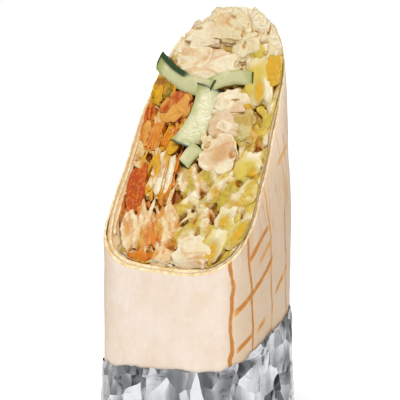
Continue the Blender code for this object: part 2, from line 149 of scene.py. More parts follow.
# Pieces that show on the cut, as in the solids, with the pieces of a kind numbered from 1: x, y,
# out, length, width and height in mm, the turn from X in degrees and the seed of its lumps
CHUNKS = {
    "chicken_chunk": (
        (-8.8, 18.6, -2.5, 30, 15, 14, 4, 11), (-1.0, 24.6, -1.5, 17, 10, 13, -4, 12),
        (-13.0, 23.2, -2.0, 14, 9, 12, 20, 13), (7.6, 22.0, -2.0, 12, 11, 11, 30, 14),
        (7.2, 12.4, -2.0, 17, 9, 10, 4, 15), (6.2, 8.0, -1.6, 14, 10, 11, -20, 16),
        (14.6, 8.6, -2.0, 9, 12, 10, 10, 17), (7.4, 2.2, -1.0, 14, 15, 12, 30, 18),
        (12.2, -21.4, -1.5, 15, 12, 12, -8, 19),
    ),
    "cabbage_rib": (
        (16.6, 16.6, -1.0, 10, 20, 12, -4, 21), (21.2, 18.4, -0.5, 10, 16, 13, -14, 22),
        (21.8, 0.6, -1.0, 11, 12, 11, 0, 23), (19.8, -12.0, -1.0, 9, 11, 10, -20, 24),
        (26.6, -14.6, -1.5, 7, 14, 10, -12, 25), (18.8, -18.4, -1.0, 10, 15, 11, -20, 26),
    ),
    "grilled_piece": (
        (-16.8, 10.4, -1.0, 12, 13, 12, -10, 31), (-25.6, 13.4, -1.5, 11, 12, 12, 15, 32),
        (-28.6, 7.4, -2.0, 7, 14, 10, 10, 33), (-24.2, 4.2, -1.5, 9, 14, 11, 5, 34),
        (-14.6, 4.2, -1.5, 8, 12, 10, -10, 35), (-23.2, -7.6, -1.8, 8, 21, 11, 12, 36),
        (-15.8, -3.6, -1.0, 11, 20, 11, 8, 37),
    ),
    # x, y, out, chord length, thickness and depth in mm, the turn and the lean in degrees
    "cucumber_slice": (
        (-16.0, 15.8, 0.6, 29, 5.0, 12, -10, 12), (4.8, 15.4, 0.4, 19, 4.0, 10, 10, 8),
        (-6.0, 8.6, 0.8, 24, 7.0, 11, 74, 24), (-3.2, 1.0, 0.2, 9, 5.0, 8, 60, 10),
    ),
}
# How each piece of a kind really looks. Chicken: how much sauce covers it, how much cabbage
# clings to it and how much less than other food it swells, in mm.
CHICKEN_LOOKS = (
    (0.5, 0.0, 0.6), (0.4, 0.2, 0), (0.4, 0.0, 0), (0.2, 0.2, 0), (-0.2, 0.0, 0),
    (-0.25, 0.0, 0), (0.2, 0.6, 0), (0.35, 0.0, 0), (0.2, 0.0, 0),
)
# Juicy chunks: where the deep colour lies, along and across, and how far it reaches, how far the
# chunk swells or shrinks, in mm, and how much further it is turned than its solid, in degrees
RIB_LOOKS = (
    (0.1, -0.35, 0.42, 0.9, 20), (0.0, -0.1, 1.7, -0.9, 22), (0.5, -0.5, 0.45, 0.3, 0),
    (0.1, -0.2, 0.55, 0.3, 20), (0.3, 0.0, 0.85, 0.3, 0), (0.1, -0.45, 0.6, 0.3, 24),
)
# Spiced pieces: the pale and the deep colour, and how crumbly it is
GRILLED_LOOKS = (
    (TAN, DEEP_ORANGE, 0.0), (YELLOW, OLIVE, 0.0), (ORANGE, DEEP_ORANGE, 0.0),
    (TAN, ORANGE, 0.0), (YELLOW, ORANGE, 0.0), (DEEP_ORANGE, CHAR, 1.0), (CREAM, YELLOW, 0.0),
)
# Cucumber slices: how much further up the slope, longer, thicker (in mm) and turned (in degrees)
# they are than their solids, how far they all stand out, and how far an end may lie over the bread
SLICE_LOOKS = ((0.6, 0.6, 1.4, -9), (0.2, 1.0, 1.0, 4), (0.2, 1.0, 2.6, 8), (0, 0, 0, 0))
SLICE_LIFT_MM, SLICE_OVERHANG = 2.4, 3.4 * MM
# How far a slice bows against its length, and how far its cut top is crowned
SLICE_BOW, SLICE_CROWN = 0.10, 0.5 * MM
# Where along the first slice, from -1 to 1, the skin on its upper edge ends
SKIN_END = 0.25
# The vertices round and out to the rim of a slice's flat faces, and along and across its top
SLICE_COLUMNS, SLICE_ROWS, TOP_COLUMNS, TOP_ROWS = 91, 23, 61, 13
REGIONS = {
    "dressed_salad": (
        (-36, 18), (-15, 14.6), (-9.5, 9), (-8.2, 2), (-6.4, -3), (-3.4, -9), (0, -16),
        (3, -22), (5, -36), (40, -36), (40, 36), (-36, 36),
    ),
    "grilled_chicken": (
        (-36, 17.6), (-15.4, 14.2), (-10, 8.8), (-8.7, 2), (-6.9, -3), (-3.9, -9.2),
        (-12, -11.6), (-22, -13.2), (-36, -8.6),
    ),
    "cabbage_shreds": (
        (-36, -9), (-22, -13.6), (-12, -12), (-3.7, -9.6), (-0.5, -16), (2.5, -22),
        (4.5, -36), (-36, -36),
    ),
}
FUSED = {
    "dressed_salad": (
        (21.6, 6.2, -1.5, 10, 8, 9, 20, 41), (4.0, -3.6, -1.2, 12, 8, 8, 40, 42),
        (25.6, -5.0, -1.8, 7, 12, 8, -6, 43), (12.2, -4.4, -0.8, 4.5, 15, 8, -16, 44),
        (17.2, -6.0, -1.0, 4.5, 14, 8, -14, 45), (0.4, -9.6, -1.2, 6, 13, 8, -34, 46),
        (22.0, -7.4, -1.4, 5, 10, 8, 12, 47), (5.8, -15.2, -0.8, 4.5, 18, 7, -24, 48),
        (12.6, 21.4, -2.0, 8, 7, 8, 0, 49), (-21.6, 18.6, -2.0, 9, 8, 8, 25, 50),
        (-3.4, -3.6, -1.2, 7, 11, 7, 10, 51), (10.4, -13.0, -1.2, 7, 10, 8, 20, 53),
    ),
    "grilled_chicken": (
        (-28.6, 1.6, -2, 6, 9, 8, 10, 61), (-26.8, -1.4, 0.3, 15, 3.6, 5, -24, 62),
        (-20.6, 9.6, -2.0, 6, 12, 8, 0, 63), (-10.6, -7.0, -1.2, 6, 13, 8, 12, 64),
    ),
    "cabbage_shreds": (
        (-28.0, -11.0, -1.2, 3.2, 24, 6, 10, 71), (-19.2, -18.4, -1.2, 4.6, 18, 7, 6, 72),
        (-12.0, -18.4, -0.8, 5.2, 19, 7, 4, 73), (-6.2, -15.0, -0.8, 6.6, 17, 7, -8, 74),
        (-1.6, -17.4, -1.0, 3.6, 15, 6, -12, 75), (-10.4, -24.6, -1.6, 10, 6, 6, 0, 76),
        (-0.8, -23.2, -1.4, 8, 8, 6, 0, 77),
    ),
}

# How finely the skin over a heap is made, how often it is smoothed, how fine the bed under it is,
# in mm, and how far the bed reaches under its neighbours, in mm
VOXEL, SMOOTHINGS, BED_STEP, BED_OVERLAP = 0.4 * MM, 2, 0.5, 1.2
# How far out in the filling's room, with 1 at the bread, the strips may reach
STRIPS_END = 0.96
# Seeds of the fused lumps that are spiced crumbs, and how much further the shreds' lumps are
# turned than their solids, in degrees
SPICED, SHREDS_TURN = (71, 76), 12
# Where in mm the sauce covers the heaps, and where and how often it makes the salad's strips pale
SAUCED_LEFT_OF, SAUCED_ABOVE = 8, 17
PALE_LEFT_OF, PALE_SHARE = 11, 0.75

# Holes between the fillings: x, y, how wide along X and up the slope, and how deep, in mm
PITS = (
    (-1.7, -9.3, 3.8, 3.6, 2.6), (5.6, -7.1, 3.6, 4.4, 2.2), (11.3, -10.1, 4.6, 2.2, 2.2),
    (7.4, -14.3, 1.6, 6.0, 2.6), (9.9, -17.4, 1.8, 4.6, 2.6), (14.5, -12.6, 4.6, 4.4, 2.4),
    (20.1, -4.5, 2.8, 4.6, 2.4), (19.1, 3.3, 3.4, 4.2, 3.0), (23.6, 3.5, 2.8, 5.2, 2.6),
    (14.2, 0.3, 3.2, 6.0, 2.4), (2.0, 1.3, 2.6, 3.4, 3.2), (-9.4, 3.2, 3.4, 2.2, 3.0),
    (-8.1, 0.1, 2.0, 3.8, 3.0), (-28.1, -2.6, 5.6, 3.4, 3.4), (-19.4, -6.0, 1.8, 9.0, 2.6),
    (-9.0, -10.6, 2.6, 5.6, 2.2), (-13.5, -23.8, 5.0, 3.6, 2.0), (1.3, -21.6, 4.6, 5.0, 2.2),
    (-25.1, -15.9, 2.6, 9.0, 2.0), (10.8, 23.7, 4.4, 2.2, 1.6), (15.1, 24.4, 1.6, 4.0, 1.6),
    (14.4, 22.0, 4.0, 3.4, 2.6), (4.9, 21.6, 1.4, 4.6, 1.8), (6.8, 19.8, 1.8, 3.4, 2.0),
    (-0.9, 24.2, 2.6, 2.6, 1.4), (-12.6, 12.9, 3.2, 2.8, 3.6), (-9.5, 11.0, 2.4, 3.4, 2.8),
    (13.8, 15.9, 2.0, 2.2, 2.6), (19.0, 12.2, 4.4, 2.8, 2.4), (-15.7, 22.0, 4.6, 1.8, 1.4),
    (3.4, 14.0, 5.0, 1.6, 1.8), (8.6, 10.6, 4.6, 1.6, 1.6),
)
LATTICE = np.random.default_rng(5).random((48, 48, 48)) * 2 - 1


# Shapes that the solids share

def outline(turn, inset):
    """Points of the roll's rounded outline, moved in by inset. Turn 0 is +X, 0.25 is +Y."""
    angle = 2 * np.pi * turn
    across, along = np.cos(angle), np.sin(angle)
    power = 2 / np.where(along > 0, BACK_SQUARENESS, FRONT_SQUARENESS)
    x = (HALF_WIDTH - inset) * np.sign(across) * np.abs(across) ** power
    y = (HALF_DEPTH - inset) * np.sign(along) * np.abs(along) ** power
    return x, y


def outline_at(turn, inset, z):
    """The outline's points at a height, as rows."""
    return np.stack([*outline(turn, inset), z], 1)


def give(turn, z):
    """How far the roll's side stands out there: it spreads towards the foot, with soft dents."""
    angle = 2 * np.pi * turn
    dent = np.sin(3 * angle + 0.06 * z / MM) + np.sin(2 * angle - 0.09 * z / MM + 1)
    return FOOT_SPREAD * np.maximum(0, 1 - z / CUT_CENTRE) + DENT_DEPTH * 0.5 * dent


def cut_height(x, y):
    hollow = CUT_HOLLOW * (y * y / HALF_DEPTH - HALF_DEPTH / 2)
    tip = TIP_RISE * np.clip(y / HALF_DEPTH, 0, 1.2) ** 8
    return CUT_CENTRE + CUT_SLOPE * y + CUT_LEAN * x + hollow + tip


def cut_rise(y):
    """How steeply the cut climbs towards the back at y."""
    share = y / HALF_DEPTH
    return CUT_SLOPE + 2 * CUT_HOLLOW * share + 8 * TIP_RISE / HALF_DEPTH * np.clip(share, 0, 1.2) ** 7


def cut_normal(y):
    """The way out of the food, for one y or an array of them, as rows."""
    slope = cut_rise(y)
    out = np.stack([np.full_like(slope, -CUT_LEAN), -slope, np.ones_like(slope)], -1)
    return out / np.linalg.norm(out, axis=-1, keepdims=True)


def pushed(points, out_mm):
    """The points, moved out of the food by out_mm."""
    return points + cut_normal(points[:, 1]) * np.reshape(out_mm, (-1, 1)) * MM


def on_cut(x_mm, y_mm, out_mm):
    """Points out_mm above the cut, as rows, from coordinates along it in mm."""
    x, y = x_mm * MM, y_mm * MM
    return pushed(np.stack([x, y, cut_height(x, y)], 1), out_mm)


def below_cut(points):
    """How far below the cut each point lies, in mm."""
    drop = cut_height(points[:, 0], points[:, 1]) - points[:, 2]
    return drop * cut_normal(points[:, 1])[:, 2] / MM


def placed(x, y, out, turn):
    """The matrix that puts a piece on the cut: its X along the cut, its Z out of the food."""
    up = Vector(cut_normal(y * MM))
    along = Vector((1, 0, CUT_LEAN)).normalized()
    matrix = Matrix((along, up.cross(along), up)).transposed().to_4x4()
    matrix.translation = Vector((x * MM, y * MM, cut_height(x * MM, y * MM))) + up * out * MM
    return matrix @ Matrix.Rotation(math.radians(turn), 4, "Z")


def sheet_inset(wound, depth):
    """How far in the sheet's middle lies after winding that many turns, depth under the cut."""
    opened = sum(a * np.exp(-(((wound - m) / w) ** 2)) for m, w, a in OPENINGS)
    opened = opened * np.exp(-np.maximum(depth, 0) / OPENING_DEPTH)
    pressed = pinch(SEAM_TURN + wound, depth)
    return SHEET / 2 + LAYER_STEP * (wound - FIRST_TURN_OUT) + opened + pressed


def pinch(turn, depth):
    """How far the roll is pressed in at that turn, depth under the cut."""
    away = (turn - PINCH_TURN + 0.5) % 1.0 - 0.5
    return PINCH * np.exp(-((away / PINCH_WIDTH) ** 2) - np.maximum(depth, 0) / PINCH_DEPTH)


def wall_inset(turn):
    """How far in the roll's side lies at that turn, without the step at the sheet's seam."""
    wound = (turn - SEAM_TURN) % 1.0
    return LAYER_STEP * (np.minimum(wound, 9 * (1 - wound)) - FIRST_TURN_OUT)


def innermost_inset(turn):
    """The inset that is just clear of the sheet's last layer at each turn."""
    first = (turn - SEAM_TURN) % 1.0
    wound = first + np.floor(TURNS + 0.04 - first)
    return sheet_inset(wound, 0) + SHEET / 2 + 0.1 * MM


# Noise and colours on vertices

def lumps(points, reach_mm, seed, octaves=2, stretch=(1, 1, 1)):
    """Smooth noise from about -1 to 1 at each point, with lumps about reach_mm across."""
    total, weight = np.zeros(len(points)), 1.0
    for octave in range(octaves):
        size = reach_mm * MM / 2**octave * np.array(stretch, float)
        at = points / size + np.array([1.7, 5.3, 9.1]) * (seed + 11.3 * octave + 1)
        cell = np.floor(at)
        part = at - cell
        part = part * part * (3 - 2 * part)
        cell = cell.astype(int)
        value = 0.0
        for corner in range(8):
            step = np.array([corner & 1, corner >> 1 & 1, corner >> 2 & 1])
            share = np.prod(np.where(step, part, 1 - part), axis=1)
            i, j, k = ((cell + step) % len(LATTICE)).T
            value = value + share * LATTICE[i, j, k]
        total += weight * value
        weight *= 0.5
    return total


def ramp(value, low, high):
    """0 below low and 1 above high, turning smoothly between them."""
    share = np.clip((value - low) / (high - low), 0, 1)
    return share * share * (3 - 2 * share)


def mixed(first, second, share):
    """Two colours or rows of colours, mixed by a share for each row."""
    share = np.asarray(share, float)[..., None]
    return np.asarray(first) * (1 - share) + np.asarray(second) * share


def aged(points, tint, pits=True, shallow=0.3, deep=3.4):
    """Painted shade: colours turn warm, and at last dark, deeper in the crevices under the cut and in
    the pits.
    """
    depth = below_cut(points) + 0.5 * lumps(points, 3.0, 91, 1)
    tint = mixed(tint, SHADED_CREVICE, 0.85 * ramp(depth, shallow, deep))
    tint = mixed(tint, DARK_SHADED_CREVICE, 0.7 * ramp(depth, deep, deep + 2.5))
    if not pits:
        return tint
    hollow = pit_shade(points)
    tint = mixed(tint, SHADED_CREVICE, ramp(hollow, 0.08, 0.5))
    return mixed(tint, DARK_SHADED_CREVICE, 0.8 * ramp(hollow, 0.55, 1.0))


def pits_near(points):
    """For each of the PITS, how far away each point is, with 1 at its edge, and its depth."""
    x, y = points[:, 0] / MM, points[:, 1] / MM
    climb = np.hypot(1, cut_rise(points[:, 1]))
    for px, py, wide, tall, deep in PITS:
        yield np.hypot((x - px) / (wide / 2), (y - py) * climb / (tall / 2)), deep


def pit_shade(points):
    """0 away from the PITS, up to 1 in the middle of one."""
    uneven = 1 + 0.3 * lumps(points, 2.4, 77, 1)
    return np.max([1 - ramp(away * uneven, 0.35, 1.25) for away, _ in pits_near(points)], axis=0)


def with_pits(points):
    """The points, pushed down into the roll where the PITS are."""
    sunk = [0.7 * deep * (1 - ramp(away, 0.3, 1.2)) for away, deep in pits_near(points)]
    return pushed(points, -np.max(sunk, axis=0) * ramp(below_cut(points), 7.0, 3.0))


# Meshes

# The rings along a strip of food, and the vertices in each
STRIP_STEPS, STRIP_AROUND = 36, 12


def pressed(points):
    """The points, with what stands far out of the cut pressed down towards it."""
    above = np.maximum(-below_cut(points), 0)
    left = CUT_BULGE_MM * (1 - np.exp(-above / CUT_BULGE_MM))
    return pushed(points, left - above)


def room_share(points, over=0.0):
    """How far out in the filling's room each point is, with 1 at the bread or over its edge."""
    x, y = points[:, 0], points[:, 1]
    power = np.where(y > 0, BACK_SQUARENESS, FRONT_SQUARENESS)
    across = np.sign(x) * np.abs(x / HALF_WIDTH) ** (power / 2)
    along = np.sign(y) * np.abs(y / HALF_DEPTH) ** (power / 2)
    inset = innermost_inset((np.arctan2(along, across) / (2 * np.pi)) % 1.0) - over
    size = (np.abs(x) / (HALF_WIDTH - inset)) ** power + (np.abs(y) / (HALF_DEPTH - inset)) ** power
    return np.maximum(size, 1e-9) ** (1 / power)


def inside_bread(points, overhang=OVERHANG):
    """The points, pulled back to the bread's inner side, or over its edge where they stand out."""
    side = np.maximum(ramp(points[:, 1], -4 * MM, 6 * MM), ramp(points[:, 0], 12 * MM, 20 * MM))
    over = overhang * ramp(-below_cut(points), 0.2, 0.7) * side
    moved = points.copy()
    moved[:, :2] /= np.maximum(1.0, room_share(points, over))[:, None]
    moved[:, 2] += cut_height(moved[:, 0], moved[:, 1]) - cut_height(points[:, 0], points[:, 1])
    above = np.maximum(moved[:, 2] - TOP_SOFTENS, 0)
    moved[:, 2] += TOP_ROOM * (1 - np.exp(-above / TOP_ROOM)) - above
    return moved


def new_object(name, points, faces, tint=None, wet=None):
    """A smooth mesh, with its colour and wetness kept on the vertices."""
    mesh = bpy.data.meshes.new(name)
    mesh.from_pydata(points.tolist(), [], faces)
    obj = bpy.data.objects.new(name, mesh)
    bpy.context.scene.collection.objects.link(obj)
    mesh.shade_smooth()
    if tint is not None:
        wet = np.broadcast_to(wet, len(points))
        rows = np.concatenate([tint, wet[:, None]], 1).astype(np.float32)
        layer = mesh.color_attributes.new("Tint", "FLOAT_COLOR", "POINT")
        layer.data.foreach_set("color", rows.ravel())
    return obj


def grid_faces(columns, rows, closed=False):
    """Quads over a grid of vertices that is stored column by column."""
    count = columns if closed else columns - 1
    a = np.arange(count)[:, None] * rows + np.arange(rows - 1)[None, :]
    b = (np.arange(count)[:, None] + 1) % columns * rows + np.arange(rows - 1)[None, :]
    return np.stack([a, b, b + 1, a + 1], -1).reshape(-1, 4).tolist()


def joined(parts):
    """Several (points, faces, tint, wet) as one."""
    points, faces, tints, wets, start = [], [], [], [], 0
    for part_points, part_faces, tint, wet in parts:
        points.append(part_points)
        faces += [[i + start for i in face] for face in part_faces]
        tints.append(np.broadcast_to(tint, (len(part_points), 3)))
        wets.append(np.broadcast_to(wet, len(part_points)))
        start += len(part_points)
    return np.concatenate(points), faces, np.concatenate(tints), np.concatenate(wets)


def ball(detail):
    """The directions and faces of a round mesh of triangles."""
    bm = bmesh.new()
    bmesh.ops.create_icosphere(bm, subdivisions=detail, radius=1.0)
    ways = np.array([v.co.normalized() for v in bm.verts])
    faces = [[v.index for v in face.verts] for face in bm.faces]
    bm.free()
    return ways, faces


def blocky_lump(spec, detail, swell_mm=FOOD_SWELL_MM, more_turn=0):
    """A lump as the solids have it: directions, places in the piece and places in the roll."""
    x, y, out, length, width, height, turn, seed = spec
    turn += more_turn
    ways, faces = ball(detail)
    offset = Vector((seed * 3.7, seed * 1.3, seed * 5.1))
    coarse = [noise.noise(Vector(w) * 1.6 + offset) for w in ways.tolist()]
    fine = [noise.noise(Vector(w) * 3.6 - offset) for w in ways.tolist()]
    size = 1 + 0.26 * np.array(coarse) + 0.12 * np.array(fine)
    size /= (np.abs(ways) ** 3).sum(1) ** (1 / 3)
    local = ways * size[:, None] * np.array([length, width, height]) * MM / 2
    local += ways * swell_mm * MM
    return ways, faces, local, placed(x, y, out, turn)


def moved_by(matrix, points):
    m = np.array(matrix)
    return points @ m[:3, :3].T + m[:3, 3]


def swollen(matrix, local, ways, swell_mm):
    """A lump's points, moved outwards by swell_mm each and put on the cut."""
    return moved_by(matrix, local + ways * (swell_mm * MM)[:, None])


def strip(path, width_mm, thick_mm, twist, seed):
    """A bent strip of food along a path of (x, y, out) points in mm on the cut."""
    path = np.array(path, float)
    steps, around = STRIP_STEPS, STRIP_AROUND
    knots = np.linspace(0, 1, len(path))
    along = np.linspace(0, 1, steps)
    line = np.stack([np.interp(along, knots, path[:, i]) for i in range(3)], 1)
    line = np.concatenate([line[:1], (line[:-2] + 2 * line[1:-1] + line[2:]) / 4, line[-1:]])
    centre = on_cut(line[:, 0], line[:, 1], line[:, 2])
    ahead = np.gradient(centre, axis=0)
    ahead /= np.linalg.norm(ahead, axis=1, keepdims=True)
    up = cut_normal(centre[:, 1])
    side = np.cross(up, ahead)
    side /= np.linalg.norm(side, axis=1, keepdims=True)
    up = np.cross(ahead, side)
    turn = twist * (along - 0.5)[:, None]
    side, up = side * np.cos(turn) + up * np.sin(turn), up * np.cos(turn) - side * np.sin(turn)
    taper = np.sqrt(np.clip(np.minimum(along, 1 - along) * 7 + 0.04, 0, 1))[:, None, None]
    angle = np.linspace(0, 2 * np.pi, around, endpoint=False)[None, :, None]
    round_side = np.sign(np.cos(angle)) * np.abs(np.cos(angle)) ** 0.7 * width_mm / 2 * MM
    round_up = np.sin(angle) * thick_mm / 2 * MM
    points = centre[:, None, :] + taper * (round_side * side[:, None, :] + round_up * up[:, None, :])
    points = points.reshape(-1, 3)
    points = pushed(points, 0.12 * lumps(points, 2.0, seed))
    across = np.tile(np.abs(np.cos(angle)).ravel(), steps)
    faces = []
    for row in range(0, (steps - 1) * around, around):
        for a in range(around):
            b = (a + 1) % around
            faces.append([row + a, row + b, row + around + b, row + around + a])
    last = (steps - 1) * around
    faces += [list(range(around))[::-1], list(range(last, last + around))]
    return points, faces, across


# Materials

class Nodes:
    """A short way to build one material's node tree."""

    def __init__(self, name):
        self.material = bpy.data.materials.new(name)
        self.material.use_nodes = True
        self.tree = self.material.node_tree
        self.shader = self.tree.nodes["Principled BSDF"]

    def add(self, kind, settings=None, **inputs):
        node = self.tree.nodes.new(kind)
        for key, value in (settings or {}).items():
            setattr(node, key, value)
        for key, value in inputs.items():
            self.set(node, key.replace("_", " "), value)
        return node

    def set(self, node, key, value):
        socket = node.inputs[int(key)] if key.isdigit() else node.inputs[key]
        if isinstance(value, bpy.types.NodeSocket):
            self.tree.links.new(value, socket)
        else:
            socket.default_value = value

    def shade(self, **inputs):
        for key, value in inputs.items():
            self.set(self.shader, key.replace("_", " "), value)

    def coordinates(self):
        return self.add("ShaderNodeTexCoord").outputs["Object"]

    def noise(self, scale, detail, roughness, at, distortion=0.0):
        made = self.add(
            "ShaderNodeTexNoise", Scale=scale, Detail=detail, Roughness=roughness,
            Distortion=distortion, Vector=at,
        )
        return made.outputs["Fac"]

    def math(self, operation, *values, kind="ShaderNodeMath", output=0):
        node = self.add(kind, {"operation": operation})
        for index, value in enumerate(values):
            self.set(node, str(index), value)
        return node.outputs[output]

    def vector(self, operation, *values, output="Vector"):
        return self.math(operation, *values, kind="ShaderNodeVectorMath", output=output)

    def spread(self, value, low, high, to_low=0.0, to_high=1.0):
        """A value's range low to high, turned smoothly into to_low to to_high."""
        node = self.add(
            "ShaderNodeMapRange", {"interpolation_type": "SMOOTHSTEP"},
            Value=value, From_Min=low, From_Max=high, To_Min=to_low, To_Max=to_high,
        )
        return node.outputs["Result"]

    def mix(self, share, first, second, blend="MIX"):
        node = self.add("ShaderNodeMix", {"data_type": "RGBA", "blend_type": blend})
        for index, value in ((0, share), (6, first), (7, second)):
            plain = not isinstance(value, bpy.types.NodeSocket)
            self.set(node, str(index), (*value, 1.0) if plain and index else value)
        return node.outputs[2]

    def bump(self, height, distance):
        return self.add("ShaderNodeBump", Height=height, Distance=distance).outputs["Normal"]


def food_material(name, roughness, fine_bump, juice, crease_shade_amount, gap_shade):
    """Moist food: the colour kept on its vertices, made warmer and darker in its creases and crevices
    as painted shade.
    """
    n = Nodes(name)
    kept = n.add("ShaderNodeAttribute", {"attribute_name": "Tint"})
    at = n.coordinates()
    fine = n.noise(900.0, 3.0, 0.6, at)
    creases = n.math("ABSOLUTE", n.math("SUBTRACT", n.noise(260.0, 2.0, 0.5, at, 0.6), 0.5))
    # Painted shade along fine noise creases
    drawn = n.spread(creases, 0.0, 0.11, crease_shade_amount, 0.0)
    crease_shaded = n.mix(1.0, kept.outputs["Color"], CREASE_SHADE, "MULTIPLY")
    tint = n.mix(drawn, kept.outputs["Color"], crease_shaded)
    # Painted shade where the food is occluded, in the gaps between pieces
    hidden = n.add("ShaderNodeAmbientOcclusion", {"samples": 8}, Distance=5.0 * MM).outputs["AO"]
    gap_shaded = n.mix(1.0, tint, gap_shade, "MULTIPLY")
    tint = n.mix(n.spread(hidden, 0.2, 0.9, 1.0, 0.0), tint, gap_shaded)
    wet = kept.outputs["Alpha"]
    relief = n.math("MULTIPLY_ADD", fine, 0.3, n.spread(creases, 0.0, 0.12, 0.0, 1.0))
    n.shade(
        Base_Color=tint, Roughness=n.spread(wet, 0.0, 1.0, roughness + 0.15, roughness - 0.12),
        Normal=n.bump(relief, fine_bump * MM),
        Subsurface_Weight=0.25, Subsurface_Scale=1.2 * MM, Subsurface_Radius=(1.0, 0.62, 0.38),
        Coat_Weight=juice, Coat_Roughness=0.3, Specular_IOR_Level=0.14,
    )
    return n.material


def bread_material():
    """Pale flatbread. The kept colour is red at the cut, green for painted shade in folds and between
    layers, and blue along fibres.
    """
    n = Nodes("flatbread")
    at = n.coordinates()
    kept = n.add("ShaderNodeAttribute", {"attribute_name": "Tint"})
    patches = n.noise(55.0, 3.0, 0.55, at)
    freckles = n.noise(420.0, 4.0, 0.65, at)
    drawn_out = n.add("ShaderNodeMapping", Vector=at, Scale=(1.0, 1.0, 0.07))
    fibres = n.noise(420.0, 3.0, 0.6, drawn_out.outputs["Vector"])
    tint = n.mix(n.spread(patches, 0.36, 0.66), seen(240, 223, 207), seen(232, 210, 186))
    tint = n.mix(n.spread(freckles, 0.52, 0.78, 0.0, 0.35), tint, seen(214, 182, 150))
    tint = n.mix(n.spread(freckles, 0.3, 0.46, 0.35, 0.0), tint, seen(250, 238, 226))
    beside = n.math("ABSOLUTE", n.add("ShaderNodeSeparateXYZ", Vector=at).outputs["X"])
    tint = n.mix(n.spread(beside, 24 * MM, 32 * MM, 0.0, 0.65), tint, seen(208, 176, 136))
    mark = grill_marks(n, at)
    browned = n.mix(n.spread(mark, 0.05, 0.45), tint, seen(220, 166, 92))
    tint = n.mix(n.spread(mark, 0.4, 0.9), browned, seen(196, 124, 44))
    split = n.add("ShaderNodeSeparateColor", Color=kept.outputs["Color"])
    streaks = n.math("MULTIPLY", split.outputs["Blue"], n.spread(fibres, 0.54, 0.70, 0.0, 0.75))
    tint = n.mix(streaks, tint, seen(206, 158, 104))
    # Painted shade in the fold creases and in the gaps between layers
    fold_shade = n.math("MULTIPLY", split.outputs["Green"], n.spread(freckles, 0.3, 0.6, 0.6, 1.0))
    tint = n.mix(fold_shade, tint, seen(206, 150, 98))
    edge = n.mix(n.spread(freckles, 0.35, 0.65), seen(226, 188, 122), seen(250, 231, 188))
    tint = n.mix(split.outputs["Red"], tint, edge)
    height = n.math("SUBTRACT", n.math("MULTIPLY", patches, 0.5), n.math("MULTIPLY", mark, 0.4))
    lines = n.math("MULTIPLY", n.math("MULTIPLY", fibres, split.outputs["Blue"]), 0.8)
    relief = n.math("ADD", n.math("ADD", height, lines), n.math("MULTIPLY", freckles, 0.3))
    n.shade(
        Base_Color=tint, Roughness=0.65, Normal=n.bump(relief, 0.4 * MM),
        Subsurface_Weight=0.2, Subsurface_Scale=0.8 * MM, Subsurface_Radius=(1.0, 0.75, 0.5),
    )
    return n.material


# Grill marks on the two narrow sides, in mm. Upright bars: their y, half their width and their
# strength. Slanted bars: their height at y = 0, from which y to which, and their strength.
UPRIGHT_MARKS = (
    (-22.3, 0.42, 1.0), (-14.6, 0.42, 0.95), (-2.4, 0.36, 0.7), (8.4, 0.4, 0.85), (18.0, 0.4, 0.8),
)
SLANTED_MARKS = (
    (88.6, -15.0, -3.0, 0.95), (82.0, -9.5, -2.0, 0.55), (75.0, -21.5, -1.5, 1.0),
    (60.2, -20.5, -14.5, 1.0), (58.0, -11.5, -7.0, 0.8), (60.2, 0.5, 9.5, 0.8),
    (45.0, -13.0, -3.0, 0.7), (102.0, 6.0, 14.0, 0.5),
)
SLANTED_RISE = 0.95


def between_bars(n, value, low, high, soft):
    """1 where value lies between low and high, fading over soft at both ends."""
    rising = n.spread(value, low - soft, low + soft)
    return n.math("MULTIPLY", rising, n.spread(value, high - soft, high + soft, 1.0, 0.0))


def grill_marks(n, at):
    """How strongly each place is browned by two presses on a ridged grill."""
    place = n.add("ShaderNodeSeparateXYZ", Vector=at)
    along = n.math("MULTIPLY", place.outputs["Y"], n.math("SIGN", place.outputs["X"]))
    wobble = n.noise(60.0, 2.0, 0.5, at)
    breakup = n.noise(90.0, 3.0, 0.55, at)
    ragged = n.noise(420.0, 2.0, 0.5, at)
    thinner = n.math("MULTIPLY_ADD", breakup, 0.7 * MM, -0.65 * MM)
    thinner = n.math("MULTIPLY_ADD", ragged, 0.6 * MM, thinner)
    shifted = n.math("ADD", along, n.math("MULTIPLY_ADD", wobble, 4 * MM, -2 * MM))
    upright = 0.0
    for middle, half_width, strength in UPRIGHT_MARKS:
        away = n.math("ADD", n.math("ABSOLUTE", n.math("SUBTRACT", shifted, middle * MM)), thinner)
        bar = n.spread(away, half_width * 0.4 * MM, half_width * 1.6 * MM, strength, 0.0)
        upright = n.math("MAXIMUM", upright, bar)
    # The press left its mark on the tight lower part only
    lower = n.spread(place.outputs["Z"], 84 * MM, 112 * MM, 1.0, 0.3)
    lower = n.math("MULTIPLY", lower, n.spread(breakup, 0.3, 0.45, 0.5, 1.0))
    upright = n.math("MULTIPLY", upright, lower)
    rise = n.math("MULTIPLY_ADD", along, -SLANTED_RISE, place.outputs["Z"])
    rise = n.math("ADD", rise, n.math("MULTIPLY_ADD", wobble, 5 * MM, -2.5 * MM))
    slanted = 0.0
    for height, low, high, strength in SLANTED_MARKS:
        away = n.math("ADD", n.math("ABSOLUTE", n.math("SUBTRACT", rise, height * MM)), thinner)
        bar = n.spread(away, 0.4 * MM, 1.7 * MM, strength, 0.0)
        bar = n.math("MULTIPLY", bar, between_bars(n, along, low * MM, high * MM, 1.2 * MM))
        slanted = n.math("MAXIMUM", slanted, bar)
    slanted = n.math("MULTIPLY", slanted, n.spread(breakup, 0.36, 0.5, 0.4, 1.0))
    side = n.spread(n.math("ABSOLUTE", place.outputs["X"]), 23 * MM, 26 * MM)
    return n.math("MULTIPLY", n.math("MAXIMUM", upright, slanted), side)


